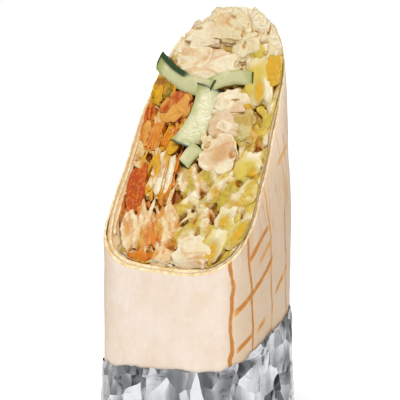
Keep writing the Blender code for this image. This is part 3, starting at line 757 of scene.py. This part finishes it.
def facets(n, at, scale, tilt):
    """The height in m of flat facets that meet at sharp folds, and how bright each one is painted, as
    painted reflection.
    """
    cells = n.add("ShaderNodeTexVoronoi", Scale=scale, Vector=at)
    across = n.vector("SUBTRACT", at, cells.outputs["Position"])
    lean = n.vector("SUBTRACT", cells.outputs["Color"], (0.5, 0.5, 0.5))
    slope = n.vector("DOT_PRODUCT", across, lean, output="Value")
    own = n.add("ShaderNodeSeparateColor", Color=cells.outputs["Color"]).outputs["Blue"]
    fading = n.math("MULTIPLY", slope, scale * 2.2)
    return n.math("MULTIPLY", slope, tilt), n.math("MULTIPLY_ADD", own, 0.28, fading)


def foil_material():
    n = Nodes("foil")
    at = n.coordinates()
    waves = n.add("ShaderNodeTexNoise", Scale=70.0, Detail=1.0, Vector=at).outputs["Color"]
    bent = n.vector("MULTIPLY_ADD", waves, (6 * MM,) * 3, at)
    drawn_out = n.add("ShaderNodeMapping", Vector=bent, Scale=(1.0, 1.0, 0.2)).outputs["Vector"]
    large, up = facets(n, drawn_out, 60.0, 1.6)
    small, small_painted_reflection = facets(n, bent, 140.0, 0.5)
    fine = n.noise(700.0, 2.0, 0.5, at)
    streaks = n.noise(120.0, 3.0, 0.55, drawn_out)
    # Painted reflection: the facets and streaks set how bright the foil's base colour is, dark to
    # light, in place of what it would mirror
    up = n.math("MULTIPLY_ADD", small_painted_reflection, 0.5, n.math("MULTIPLY", up, 0.6))
    up = n.math("MULTIPLY_ADD", streaks, 1.4, n.math("SUBTRACT", up, 0.28))
    n.shade(
        Base_Color=n.mix(n.spread(up, 0.1, 1.0), (0.16, 0.165, 0.17), (0.66, 0.67, 0.69)), Metallic=1.0,
        Roughness=n.spread(fine, 0.3, 0.7, 0.16, 0.26),
        Normal=n.bump(n.math("ADD", large, small), 1.0),
    )
    return n.material


# The flatbread

def flatbread_piece():
    """The rolled sheet with both its faces and a cut edge that follows the cut's slope."""
    columns = round(TURNS * SHEET_COLUMNS_PER_TURN) + 1
    wound = np.linspace(0, TURNS, columns)
    turn = SEAM_TURN + wound
    share = np.append(np.linspace(0, 1, SHEET_ROWS - 1) ** 0.8, 1.0)
    lip = np.append(np.zeros(SHEET_ROWS - 2), SHEET_LIP)
    sides, painted_fold_shade = {}, np.zeros((columns, SHEET_ROWS))
    for side in (-1, 1):
        x, y = outline(turn, sheet_inset(wound, 0) + side * SHEET / 2)
        top = cut_height(x, y)
        points = np.zeros((columns, SHEET_ROWS, 3))
        for row, part in enumerate(share):
            z = SHEET_FOOT + (top - SHEET_FOOT) * part - lip[row]
            inset = sheet_inset(wound, top - z) - give(turn, z) + side * SHEET / 2
            ripple = RIPPLE * lumps(outline_at(turn, inset, z + wound * 0.3), 9, 3)
            bent, painted_fold_shade[:, row] = side_folds(turn, z)
            points[:, row] = outline_at(turn, inset + ripple - bent, z)
        sides[side] = points
    ragged = RAGGED * lumps(sides[-1][:, -1], 1.2, 8)
    for points in sides.values():
        points[:, -1, 2] += ragged
    middle = (sides[-1][:, -1] + sides[1][:, -1]) / 2
    middle[:, 2] += EDGE_ROUND
    outer, inner = sides[-1], sides[1]
    ring = np.concatenate([outer, middle[:, None], inner[:, ::-1]], axis=1)
    count = ring.shape[1]
    tint = np.zeros((columns, count, 3))
    tint[:, SHEET_ROWS - 1 : SHEET_ROWS + 2, 0] = 1.0
    # Green: painted shade along the outer layer's fold creases
    tint[:, :SHEET_ROWS, 1] = painted_fold_shade * (wound < 1.1)[:, None]
    narrow = ramp(np.abs(ring[..., 0]), 24 * MM, 30 * MM)
    tint[..., 2] = narrow * ramp(ring[..., 2], 60 * MM, 100 * MM) * (0.4 + 0.6 * narrow)
    faces = grid_faces(columns, count)
    for end in (0, (columns - 1) * count):
        far = end + count - 1
        faces += [[end + i, end + i + 1, far - 1 - i, far - i] for i in range(SHEET_ROWS - 1)]
    rolled = (ring.reshape(-1, 3), faces, tint.reshape(-1, 3), 0.5)
    sheet = new_object("flatbread_sheet", *joined([rolled, between_layers()]))
    sheet.data.materials.append(bread_material())
    return sheet


def between_layers():
    """Sauce and crumb that fill the gaps between the sheet's layers, just under the cut, coloured with
    painted shade.
    """
    turn = np.linspace(0, 1, SAUCE_COLUMNS, endpoint=False)
    first = (turn - SEAM_TURN) % 1.0
    outer = sheet_inset(first, 0)
    inner = innermost_inset(turn) + SAUCE_REACH
    grid = np.zeros((SAUCE_COLUMNS, SAUCE_ROWS, 3))
    for row in range(SAUCE_ROWS):
        x, y = outline(turn, outer + (inner - outer) * row / (SAUCE_ROWS - 1))
        grid[:, row] = on_cut(x / MM, y / MM, SAUCE_OUT_MM)
    points = grid.reshape(-1, 3)
    points[:, 2] += 0.2 * MM * lumps(points, 2.0, 55)
    return points, grid_faces(SAUCE_COLUMNS, SAUCE_ROWS, closed=True), SAUCE_AND_SHADE_TINT, 0.5


def side_folds(turn, z):
    """Upright folds in the sheet above the wide face, on the narrow sides, and the painted shade along
    their creases.
    """
    around = 1 - ramp(np.abs((2 * turn + 0.5) % 1.0 - 0.5), 0.18, 0.30)
    above = ramp(z, 66 * MM, 86 * MM) * around
    place = np.stack([turn * 0.2, z * 0.09, turn * 0], 1)
    waves = lumps(place, 5.0, 61, 2)
    crease = 1 - ramp(np.abs(lumps(place, 6.5, 62, 1)), 0.0, 0.12)
    return above * (0.35 * waves + 0.2 - 0.25 * crease) * MM, above * crease * 0.7


# The foil

def foil_rim(turn):
    away = (turn - FOIL_PEAK_TURN + 0.5) % 1.0 - 0.5
    width = np.where(away < 0, 0.13, 0.22)
    wave = 0.5 * np.sin(2 * np.pi * 7 * turn) + 0.5 * np.sin(2 * np.pi * 17 * turn + 1)
    return FOIL_RIM + FOIL_PEAK * np.exp(-((away / width) ** 2)) + wave * FOIL_WAVE


def creases(points):
    """Sharp folds in foil, from about -1 to 1: long and upright in front, crumpled elsewhere."""
    front = ramp(-points[:, 1], 14 * MM, 24 * MM)
    bent = points + 2.0 * MM * np.stack([lumps(points, 9, s, 1) for s in (1, 2, 3)], 1)
    drawn = bent * np.array([1, 1, 0.3])
    long_folds = np.abs(lumps(drawn, 8, 4, 1)) - 0.8 * np.abs(lumps(drawn, 5.5, 5, 1))
    crumpled = np.abs(lumps(bent, 7.5, 14, 1)) - 0.8 * np.abs(lumps(bent, 5, 15, 1))
    crumpled += 0.4 * np.abs(lumps(bent, 3.2, 16, 1))
    height = mixed_numbers(crumpled, long_folds, front)
    return height + 0.14 * np.abs(lumps(bent, 2.0, 9, 1))


def mixed_numbers(first, second, share):
    return first * (1 - share) + second * share


def foil_piece():
    """Crumpled foil round the foot, folded under it, with a torn upper edge."""
    turn = np.linspace(0, 1, FOIL_COLUMNS, endpoint=False)
    wall = wall_inset(turn) - FOIL_CLEARANCE
    rim = foil_rim(turn) + FOIL_RAGGED * lumps(outline_at(turn, 0, turn * 0), 2.2, 12)
    grid = np.zeros((FOIL_COLUMNS, FOIL_ROWS, 3))
    foot = outline_at(turn, wall + FOIL_CORNER, np.full_like(turn, FOIL_FOOT))
    for row, share in enumerate(np.linspace(0, 1, FOIL_UNDER_ROWS)):
        grid[:, row] = foot * (share, share, 1)
        grid[:, row, 2] += FOIL_UNEVEN * np.abs(lumps(grid[:, row], 5, 13))
    up_rows = FOIL_ROWS - FOIL_UNDER_ROWS
    for row in range(up_rows):
        z = FOIL_FOOT + (rim - FOIL_FOOT) * (row + 1) / up_rows
        corner = np.clip((z - FOIL_FOOT) / FOIL_CORNER, 0, 1)
        inset = wall + FOIL_CORNER * (1 - np.sqrt(1 - (1 - corner) ** 2))
        height = creases(outline_at(turn, inset, z))
        hug = 0.35 + 0.65 * ramp(rim - z, 0, 5 * MM)
        lift = np.maximum(0, 0.35 + 0.55 * height) * np.minimum(1, corner + 0.1) * hug
        inset = inset - give(turn, z) - lift * FOIL_LIFT
        grid[:, FOIL_UNDER_ROWS + row] = outline_at(turn, inset, z)
    faces = grid_faces(FOIL_COLUMNS, FOIL_ROWS, closed=True)
    foil = new_object("foil_wrap", grid.reshape(-1, 3), faces)
    foil.data.materials.append(foil_material())
    return foil


# The fillings

def settled(points):
    """The points as the knife and the bread leave them, with the PITS sunk in."""
    return inside_bread(with_pits(pressed(points)))


def warm_sides(tint, ways, colour, amount):
    """Food turns warmer where it slopes away from the knife's cut."""
    return mixed(tint, colour, amount * (1 - ramp(ways[:, 2], -0.1, 0.65)))


def chicken_piece(name, spec, looks):
    """A sauced chicken chunk: broad torn facets, with painted shade in their hollows and wrinkles and
    painted highlight along the pale ridges between them.
    """
    saucy, leafy, less_mm = looks
    ways, faces, local, matrix = blocky_lump(spec, CHUNK_DETAIL, FOOD_SWELL_MM - less_mm)
    seed = spec[-1]
    torn = lumps(local, 8.0, seed + 1, 1)
    ridge = 1 - ramp(np.abs(lumps(local, 8.0, seed, 1)), 0.0, 0.14)
    wrinkle = 1 - ramp(np.abs(lumps(local, 6.0, seed + 5, 1, stretch=(2.0, 1, 1))), 0.0, 0.16)
    sauce = ramp(lumps(local, 8.0, seed + 2, 1) + saucy, -0.3, 0.3)
    swell = 0.6 * torn + 0.6 * ridge - 0.6 * wrinkle * (1 - ridge)
    points = settled(swollen(matrix, local, ways, swell))
    # Painted shade: deeper colour in the facets' hollows. Cream where the sauce lies, and along the
    # raised ridges as painted highlight. Painted shade: crevice colour in the wrinkles.
    facet = mixed(CHICKEN, CHICKEN_DEEP, ramp(torn, 0.35, -0.5) * 0.8)
    tint = mixed(facet, CREAM, np.clip(0.85 * sauce + 0.9 * ridge, 0, 1))
    tint = mixed(tint, SHADED_CREVICE, 0.45 * wrinkle * (1 - ridge))
    tint = mixed(tint, CABBAGE, leafy * ramp(torn, -0.4, 0.3))
    tint = mixed(tint, GREEN, leafy * ramp(torn, 0.25, -0.3))
    tint = warm_sides(tint, ways, CHICKEN_DEEP, 0.5)
    tint = mixed(aged(points, tint, False, 0.8, 4.6), aged(points, tint, True, 0.8, 4.6), 0.65)
    return new_object(name + "_food", points, faces, tint, 0.4 + 0.6 * sauce)


def rib_piece(name, spec, looks):
    """A juicy pale chunk, yellow-green towards its deep yellow middle."""
    along, across, reach, swell_mm, more_turn = looks
    ways, faces, local, matrix = blocky_lump(spec, CHUNK_DETAIL, swell_mm, more_turn)
    soft = lumps(local, 6.0, spec[-1], 1)
    points = inside_bread(pressed(swollen(matrix, local, ways, 0.3 * soft)))
    away = np.hypot((ways[:, 0] - along) * 1.3, ways[:, 1] - across) + 0.16 * soft
    top = ramp(ways[:, 2], -0.1, 0.3)
    tint = mixed(CREAM, CABBAGE, ramp(soft, -0.5, 0.5))
    tint = mixed(tint, GREEN, 0.6 * (1 - ramp(away, reach * 0.7, reach * 1.6)))
    tint = mixed(tint, YELLOW, 0.95 * top * (1 - ramp(away, reach * 0.3, reach * 1.1)))
    tint = warm_sides(tint, ways, GREEN, 0.5)
    return new_object(name + "_food", points, faces, aged(points, tint, pits=False), 0.8)


def grilled_piece(name, spec, looks):
    """Spiced chicken in upright fibres, from golden to deep orange, with painted shade in the grooves
    between them. One piece is charred crumb.
    """
    ways, faces, local, matrix = blocky_lump(spec, CHUNK_DETAIL)
    seed = spec[-1]
    pale, deep, crumbly = looks
    crumbs = np.abs(lumps(local, 1.3, seed, 2))
    torn = lumps(local, 5.0, seed + 1, 2)
    fibres = lumps(local, 2.6, seed + 2, 2, stretch=(1, 6.0, 1))
    groove = 1 - ramp(np.abs(fibres), 0.0, 0.22)
    swell = 0.4 * torn + mixed_numbers(0.9 * fibres - 1.2 * groove, 0.35 * crumbs - 0.1, crumbly)
    points = settled(swollen(matrix, local, ways, swell))
    tint = mixed(pale, deep, ramp(fibres + 0.6 * torn, 0.3, -0.5))
    # Painted shade: deeper orange in the grooves between the fibres
    tint = mixed(tint, mixed(deep, DEEP_ORANGE, 0.5), (1 - crumbly) * 0.75 * groove)
    tint = mixed(tint, ORANGE, 0.7 * crumbly * ramp(crumbs, 0.35, 0.7))
    tint = warm_sides(tint, ways, deep, 0.8)
    return new_object(name + "_food", points, faces, aged(points, tint), 0.6 - 0.3 * crumbly)


def slice_piece(name, spec, looks):
    """A cucumber slice on edge: a chord of it shows on the cut, with skin at the round side."""
    x, y, out, chord, thick, depth, turn, lean = spec
    up, longer, thicker, more_turn = looks
    out, y, chord, thick = out + SLICE_LIFT_MM, y + up, chord + longer, thick + thicker
    turn += more_turn
    half, sink, thickness = chord * MM / 2, depth * MM, (thick + FOOD_SWELL_MM) * MM
    radius = (half * half + sink * sink) / (2 * sink)
    reach = math.asin(min(1, half / radius)) if sink < radius else math.pi - math.asin(half / radius)
    sag = SLICE_BOW * chord * MM * (-1 if lean > 10 else 1)
    # The two flat faces, from the middle out to the rim
    columns, rows = SLICE_COLUMNS, SLICE_ROWS
    swing = np.linspace(-reach, reach, columns)[:, None]
    rim = np.tile(np.linspace(0, 1, rows), (columns, 1))
    px = radius * np.sin(swing) * rim
    pz = (radius - sink - radius * np.cos(swing)) * rim
    bow = sag * (1 - (px / half) ** 2)
    bevel = 0.5 * (1 - 0.25 * np.maximum(0, rim - 0.85) / 0.15) * thickness
    flats = [np.stack([px, side * bevel + bow, pz], -1).reshape(-1, 3) for side in (-1, 1)]
    count = columns * rows
    near = grid_faces(columns, rows)
    faces = [f[::-1] for f in near] + [[i + count for i in f] for f in near]
    skin = [rows - 1 + column * rows for column in range(columns)]
    faces += [[a, b, b + count, a + count] for a, b in zip(skin, skin[1:])]
    # The face that the knife cut, with its own vertices across, a little crowned
    lines = np.linspace(-half, half, TOP_COLUMNS), np.linspace(-1, 1, TOP_ROWS)
    px, side = (g.ravel() for g in np.meshgrid(*lines, indexing="ij"))
    bow = sag * (1 - (px / half) ** 2)
    top = np.stack([px, side * thickness / 2 + bow, SLICE_CROWN * (1 - side**4)], 1)
    faces += [[i + 2 * count for i in f] for f in grid_faces(TOP_COLUMNS, TOP_ROWS)]
    upper = np.concatenate([np.repeat([-1.0, 1.0], count), side])
    local = np.concatenate([*flats, top])
    rim = np.concatenate([rim.ravel(), rim.ravel(), np.abs(px) / half])
    matrix = placed(x, y, out, turn) @ Matrix.Rotation(math.radians(lean), 4, "X")
    wet_lumps = lumps(local, 4.0, turn, 1)
    local[:, 1] += 0.15 * MM * wet_lumps
    world = inside_bread(moved_by(matrix, local), SLICE_OVERHANG)
    tint = mixed(CUCUMBER, CUCUMBER_EDGE, 0.8 * ramp(rim + 0.15 * wet_lumps, 0.6, 1.0))
    tint = mixed(tint, CUCUMBER_EDGE, 0.5 * ramp(np.abs(upper) + 0.2 * wet_lumps, 0.6, 1.0))
    tint = mixed(tint, CREAM, 0.3 * ramp(lumps(world, 4.0, 7 + turn, 2), 0.0, 0.4))
    tint = mixed(tint, SKIN, ramp(rim, 0.92, 0.97))
    if name == "cucumber_slice_1":
        left = 1 - ramp(local[:, 0] / half, SKIN_END - 0.3, SKIN_END)
        tint = mixed(tint, SKIN, ramp(upper + 0.5 * left, 0.75, 0.95) * left)
    return new_object(name + "_food", world, faces, tint, 0.9)


def in_region(name, x, y):
    """Whether each point lies in one of the REGIONS, in mm."""
    corners = REGIONS[name]
    inside = np.zeros(np.shape(x), bool)
    for (x0, y0), (x1, y1) in zip(corners, corners[1:] + corners[:1]):
        crosses = (y0 > y) != (y1 > y)
        inside ^= crosses & (x < (x1 - x0) * (y - y0) / ((y1 - y0) or 1e-9) + x0)
    return inside


def bed(name, low_mm, rough_mm, seed, tint):
    """The uneven bed under a heap's pieces, which climbs a little at the bread."""
    xs, ys = (np.arange(-end, end + BED_STEP, BED_STEP) for end in (33, 28))
    gx, gy = (g.ravel() for g in np.meshgrid(xs, ys, indexing="ij"))
    flat = np.stack([gx, gy, gx * 0], 1) * MM
    edge = ramp(room_share(flat), 0.82, 0.97)
    rough = lumps(flat, 6.0, seed, 2) + 0.7 * lumps(flat, 2.6, seed + 1, 2)
    out = low_mm + rough_mm * rough + (0.8 - low_mm) * edge
    around = (-BED_OVERLAP, BED_OVERLAP)
    keep = sum(in_region(name, gx + dx, gy + dy) for dx in around for dy in around) > 0
    points = settled(on_cut(gx, gy, out))
    faces = [f for f in grid_faces(len(xs), len(ys)) if keep[f].any()]
    used, faces = np.unique(faces, return_inverse=True)
    faces = faces.reshape(-1, 4).tolist()
    points, edge, out = points[used], edge[used], out[used]
    top = ramp(points[:, 1], 13 * MM, 19 * MM)
    sauce = np.maximum(ramp(lumps(points, 5.0, seed + 3), -0.2, 0.4), top)
    fresh = mixed(CABBAGE, CREAM, sauce)
    fresh = mixed(tint, fresh, np.maximum(edge, ramp(out, -0.8, 0.4)))
    return points, faces, aged(points, fresh), 0.5


def random_strips(name, count, seed, lengths, widths, lean, out, tints):
    """Bent strips over a heap, lying along lean: the angle and how much it varies.

    Sauce covers the top left, so no strips show there, and makes the salad's left half paler.
    """
    rng = np.random.default_rng(seed)
    made = []
    while len(made) < count:
        x, y = rng.uniform(-30, 30), rng.uniform(-27, 26)
        sauced = x < SAUCED_LEFT_OF and y > SAUCED_ABOVE
        if sauced or not in_region(name, x, y):
            continue
        length, width = rng.uniform(*lengths), rng.uniform(*widths)
        way = math.radians(rng.normal(*lean))
        dx = math.cos(way) * length / 2
        dy = math.sin(way) * length / 2 / math.hypot(1, cut_rise(y * MM))
        bend, rise = rng.uniform(-0.3, 0.3), rng.uniform(*out)
        middle = (x - dy * bend * 2, y + dx * bend / 2, rise + rng.uniform(0, 1.0))
        start = (x - dx, y - dy, rise - rng.uniform(0, 1.5))
        path = [start, middle, (x + dx, y + dy, rise - rng.uniform(0, 1.5))]
        if room_share(np.array(path) * MM).max() > STRIPS_END:
            continue
        thick = rng.uniform(0.4, 0.65) * width
        points, faces, across = strip(path, width, thick, rng.uniform(-1, 1), seed + len(made))
        points = settled(points)
        middle_tint, edge_tint = tints[int(rng.integers(len(tints)))]
        if name == "dressed_salad" and x < PALE_LEFT_OF and rng.random() < PALE_SHARE:
            middle_tint, edge_tint = SAUCE, CABBAGE
        tint = mixed(middle_tint, edge_tint, ramp(across, 0.55, 1.0) * 0.8)
        tint = mixed(tint, PALE_SHRED, 0.15 * ramp(lumps(points, 4, seed + 50, 1), 0.0, 0.5))
        made.append((points, faces, aged(points, tint), 0.7))
    return made


def fused_lumps(name, tint):
    """The lumps of a heap: torn leaves and shreds pressed together, greener where they dip, with
    painted shade in their grooves.
    """
    made = []
    for spec in FUSED[name]:
        more_turn = SHREDS_TURN if name == "cabbage_shreds" else 0
        ways, faces, local, matrix = blocky_lump(spec, FUSED_DETAIL, FOOD_SWELL_MM, more_turn)
        soft = lumps(local, 5.0, spec[-1], 2)
        leaves = lumps(local, 2.6, spec[-1] + 1, 2, stretch=(1, 2.6, 1))
        groove = 1 - ramp(np.abs(leaves), 0.0, 0.2)
        swell = 0.4 * soft + 0.5 * leaves - 0.7 * groove
        points = settled(swollen(matrix, local, ways, swell))
        pale = -0.5 if name == "dressed_salad" and spec[0] < PALE_LEFT_OF else -0.1
        share = ramp(soft + leaves, pale, pale + 0.7) * (0.6 if name == "cabbage_shreds" else 1.0)
        colour = mixed(tint, PALE_SHRED if name == "grilled_chicken" else CREAM, share)
        colour = mixed(colour, GREEN, (0.6 if spec[-1] % 3 == 0 else 0.15) * ramp(leaves, 0.3, -0.4))
        # Painted shade: crevice colour, or orange on the shreds, in the grooves
        colour = mixed(colour, ORANGE if name == "cabbage_shreds" else SHADED_CREVICE, 0.8 * groove)
        if spec[-1] in SPICED:
            colour = mixed(ORANGE, DEEP_ORANGE, ramp(leaves + soft, 0.3, -0.5))
        made.append((points, faces, aged(points, colour), 0.7))
    return made


def blended(mesh, tint, rounds):
    """The vertices' colours, evened out with their neighbours' a few times."""
    ends = np.zeros(len(mesh.edges) * 2, int)
    mesh.edges.foreach_get("vertices", ends)
    first, second = ends.reshape(-1, 2).T
    count = 1 + np.bincount(ends, minlength=len(tint))
    for _ in range(rounds):
        total = tint.copy()
        for channel in range(3):
            total[:, channel] += np.bincount(first, tint[second, channel], len(tint))
            total[:, channel] += np.bincount(second, tint[first, channel], len(tint))
        tint = total / count[:, None]
    return tint


def melted(name, parts, under, blend):
    """Closed parts run together under one skin of sauce, coloured by the nearest, over open beds."""
    points, faces, tint, wet = joined(parts)
    rough = new_object(name + "_rough", points, faces)
    remesh = rough.modifiers.new("Skin", "REMESH")
    remesh.mode = "VOXEL"
    remesh.voxel_size = VOXEL
    smooth = rough.modifiers.new("Smooth", "SMOOTH")
    smooth.iterations = SMOOTHINGS
    graph = bpy.context.evaluated_depsgraph_get()
    mesh = bpy.data.meshes.new_from_object(rough.evaluated_get(graph))
    mesh.shade_smooth()
    bpy.data.objects.remove(rough)
    tree = kdtree.KDTree(len(points))
    for index, point in enumerate(points.tolist()):
        tree.insert(point, index)
    tree.balance()
    skin = np.zeros(len(mesh.vertices) * 3)
    mesh.vertices.foreach_get("co", skin)
    skin = skin.reshape(-1, 3)
    nearest = [tree.find(p)[1] for p in skin.tolist()]
    skin_faces = [list(face.vertices) for face in mesh.polygons]
    skin_tint = blended(mesh, tint[nearest], blend)
    points, faces, tint, wet = joined([(skin, skin_faces, skin_tint, wet[nearest]), *under])
    return new_object(name, points, faces, tint, wet)


# Each heap: its material, its bed's height and roughness in mm, seed and colour, the colour of its
# lumps, its strips, and how many rounds its colours are evened out. The strips: how many, the seed,
# from how long to how long and wide in mm, their angle and its spread in degrees, how far they
# stand out in mm, and pairs of a colour along the middle and one along the edges.
HEAPS = {
    "dressed_salad": (
        "salad", (-1.0, 0.7, 21, CABBAGE), CABBAGE,
        (190, 22, (5, 11), (1.5, 3.4), (108, 42), (-0.6, 2.0), (
            (SAUCE, CABBAGE), (SAUCE, CHICKEN_DEEP), (CABBAGE, GREEN), (CABBAGE, YELLOW),
            (SAUCE, GREEN), (GREEN, YELLOW), (YELLOW, OLIVE),
        )), 4,
    ),
    "grilled_chicken": (
        "grilled", (-1.2, 0.8, 31, ORANGE), ORANGE,
        (120, 32, (5, 11), (0.9, 2.2), (109, 10), (-0.6, 3.2), (
            (TAN, ORANGE), (ORANGE, DEEP_ORANGE), (YELLOW, OLIVE), (YELLOW, ORANGE),
            (PALE_SHRED, ORANGE),
        )), 1,
    ),
    "cabbage_shreds": (
        "shreds", (-1.4, 0.7, 41, DEEP_ORANGE), TAN,
        (60, 42, (9, 20), (1.0, 2.2), (118, 6), (0.6, 3.4), (
            (CREAM, TAN), (PALE_SHRED, ORANGE), (TAN, DEEP_ORANGE), (PALE_SHRED, TAN),
            (CREAM, YELLOW), (ORANGE, DEEP_ORANGE),
        )), 1,
    ),
}


def heap_piece(name, under, tint, strips, rounds):
    """One of the heaps under and between the larger pieces."""
    parts = fused_lumps(name, tint) + random_strips(name, *strips)
    return melted(name + "_food", parts, [bed(name, *under)], rounds)


# The studio

def direction(azimuth, elevation):
    """The way towards something. Azimuth 0 is in front (-Y) and 90 at +X, in degrees."""
    side, rise = math.radians(azimuth), math.radians(elevation)
    level = Vector((math.sin(side), -math.cos(side), 0))
    return level * math.cos(rise) + Vector((0, 0, math.sin(rise)))


def set_up(name, data, place, way):
    """A light or camera at a place, looking that way."""
    obj = bpy.data.objects.new(name, data)
    obj.location = place
    obj.rotation_euler = way.to_track_quat("-Z", "Y").to_euler()
    bpy.context.scene.collection.objects.link(obj)
    return obj


def plate(name, width, height, **finish):
    """A flat rectangle round the origin with a plain material."""
    corners = np.array([(-1, -1, 0), (1, -1, 0), (1, 1, 0), (-1, 1, 0)])
    made = new_object(name, corners * (width / 2, height / 2, 1), [[0, 1, 2, 3]])
    n = Nodes(name)
    n.shade(Roughness=1.0, **finish)
    made.data.materials.append(n.material)
    return made


def dark_card(name, place, aim, width, height):
    """A dark card that only the foil's reflections see."""
    card = plate(name, width, height, Base_Color=(0.012, 0.012, 0.014, 1.0))
    card.location = place
    card.rotation_euler = (aim - place).to_track_quat("-Z", "Y").to_euler()
    for ray in ("camera", "diffuse", "shadow", "transmission", "volume_scatter"):
        setattr(card, "visible_" + ray, False)
    return card


# Tall dark cards round the roll, which its foil mirrors as dark streaks: azimuth and width, and
# then for all of them their distance, the height of their middles, their aim and their height
CARDS = (
    (-120, 0.5), (-70, 0.22), (-38, 0.16), (-8, 0.26), (22, 0.10), (44, 0.2), (76, 0.36),
    (118, 0.3), (165, 0.4), (205, 0.3),
)
CARD_DISTANCE, CARD_MIDDLE, CARD_AIM, CARD_HEIGHT = 1.15, 0.12, 0.03, 0.8
FLOOR_SIZE = 16.0
# The soft light from the front right: azimuth, elevation, strength and how wide it looks
SUN_AZIMUTH, SUN_ELEVATION, SUN_STRENGTH, SUN_WIDTH = 25, 49, 2.64, 22


def studio():
    """A plain white floor and surroundings, with one very soft light from far away."""
    scene = bpy.context.scene
    world = bpy.data.worlds.new("studio")
    scene.world = world
    world.use_nodes = True
    background = world.node_tree.nodes["Background"]
    background.inputs["Color"].default_value = (1, 1, 1, 1)
    background.inputs["Strength"].default_value = 1.0
    grey = (0.8, 0.8, 0.8, 1.0)
    floor = plate("floor", FLOOR_SIZE, FLOOR_SIZE, Base_Color=grey, Specular_IOR_Level=0.0)
    for number, (azimuth, width) in enumerate(CARDS):
        place = direction(azimuth, 0) * CARD_DISTANCE + Vector((0, 0, CARD_MIDDLE))
        aim = Vector((0, 0, CARD_AIM))
        dark_card(f"card_{number}", place, aim, width, CARD_HEIGHT)
    light = bpy.data.lights.new("key", "SUN")
    light.energy, light.angle = SUN_STRENGTH, math.radians(SUN_WIDTH)
    set_up("key", light, (0, 0, 0), -direction(SUN_AZIMUTH, SUN_ELEVATION))
    scene.view_settings.view_transform = "Standard"
    scene.view_settings.look = "None"


def camera():
    back = direction(CAMERA_AZIMUTH, CAMERA_ELEVATION)
    beside = direction(CAMERA_AZIMUTH + 90, 0)
    aim = beside * CAMERA_SIDE + Vector((0, 0, CAMERA_AIM))
    data = bpy.data.cameras.new("camera")
    data.lens = CAMERA_LENS
    obj = set_up("camera", data, aim + back * CAMERA_DISTANCE, -back)
    bpy.context.scene.camera = obj


# The maker, the looks and the material of each kind of piece on the cut
KINDS = {
    "chicken_chunk": (chicken_piece, CHICKEN_LOOKS, "chicken"),
    "cabbage_rib": (rib_piece, RIB_LOOKS, "rib"),
    "grilled_piece": (grilled_piece, GRILLED_LOOKS, "grilled"),
    "cucumber_slice": (slice_piece, SLICE_LOOKS, "cucumber"),
}
# Each food's roughness, the depth of its fine relief in mm, how juicy it is, how strongly painted
# shade darkens its creases, and how painted shade turns its colour in the gaps
FOODS = {
    "chicken": (0.46, 0.14, 0.1, 0.25, CHICKEN_GAP_SHADE),
    "rib": (0.38, 0.10, 0.2, 0.15, CHICKEN_GAP_SHADE),
    "grilled": (0.44, 0.2, 0.08, 0.45, CREVICE_SHADE),
    "cucumber": (0.32, 0.06, 0.3, 0.08, CREVICE_SHADE),
    "salad": (0.42, 0.26, 0.1, 0.5, CREVICE_SHADE),
    "shreds": (0.42, 0.22, 0.1, 0.5, CREVICE_SHADE),
}


def main():
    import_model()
    foods = {name: food_material(name, *values) for name, values in FOODS.items()}
    made = {"flatbread": (flatbread_piece(), "flatbread"), "foil": (foil_piece(), "foil")}
    for kind, (maker, looks, finish) in KINDS.items():
        for number, (spec, look) in enumerate(zip(CHUNKS[kind], looks), 1):
            name = f"{kind}_{number}"
            made[name] = (maker(name, spec, look), finish)
    for name, (finish, *heap) in HEAPS.items():
        made[name] = (heap_piece(name, *heap), finish)
    for name, (piece, finish) in made.items():
        if finish in foods:
            piece.data.materials.append(foods[finish])
        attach(piece, "root")
        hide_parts(name)
    studio()
    camera()


main()
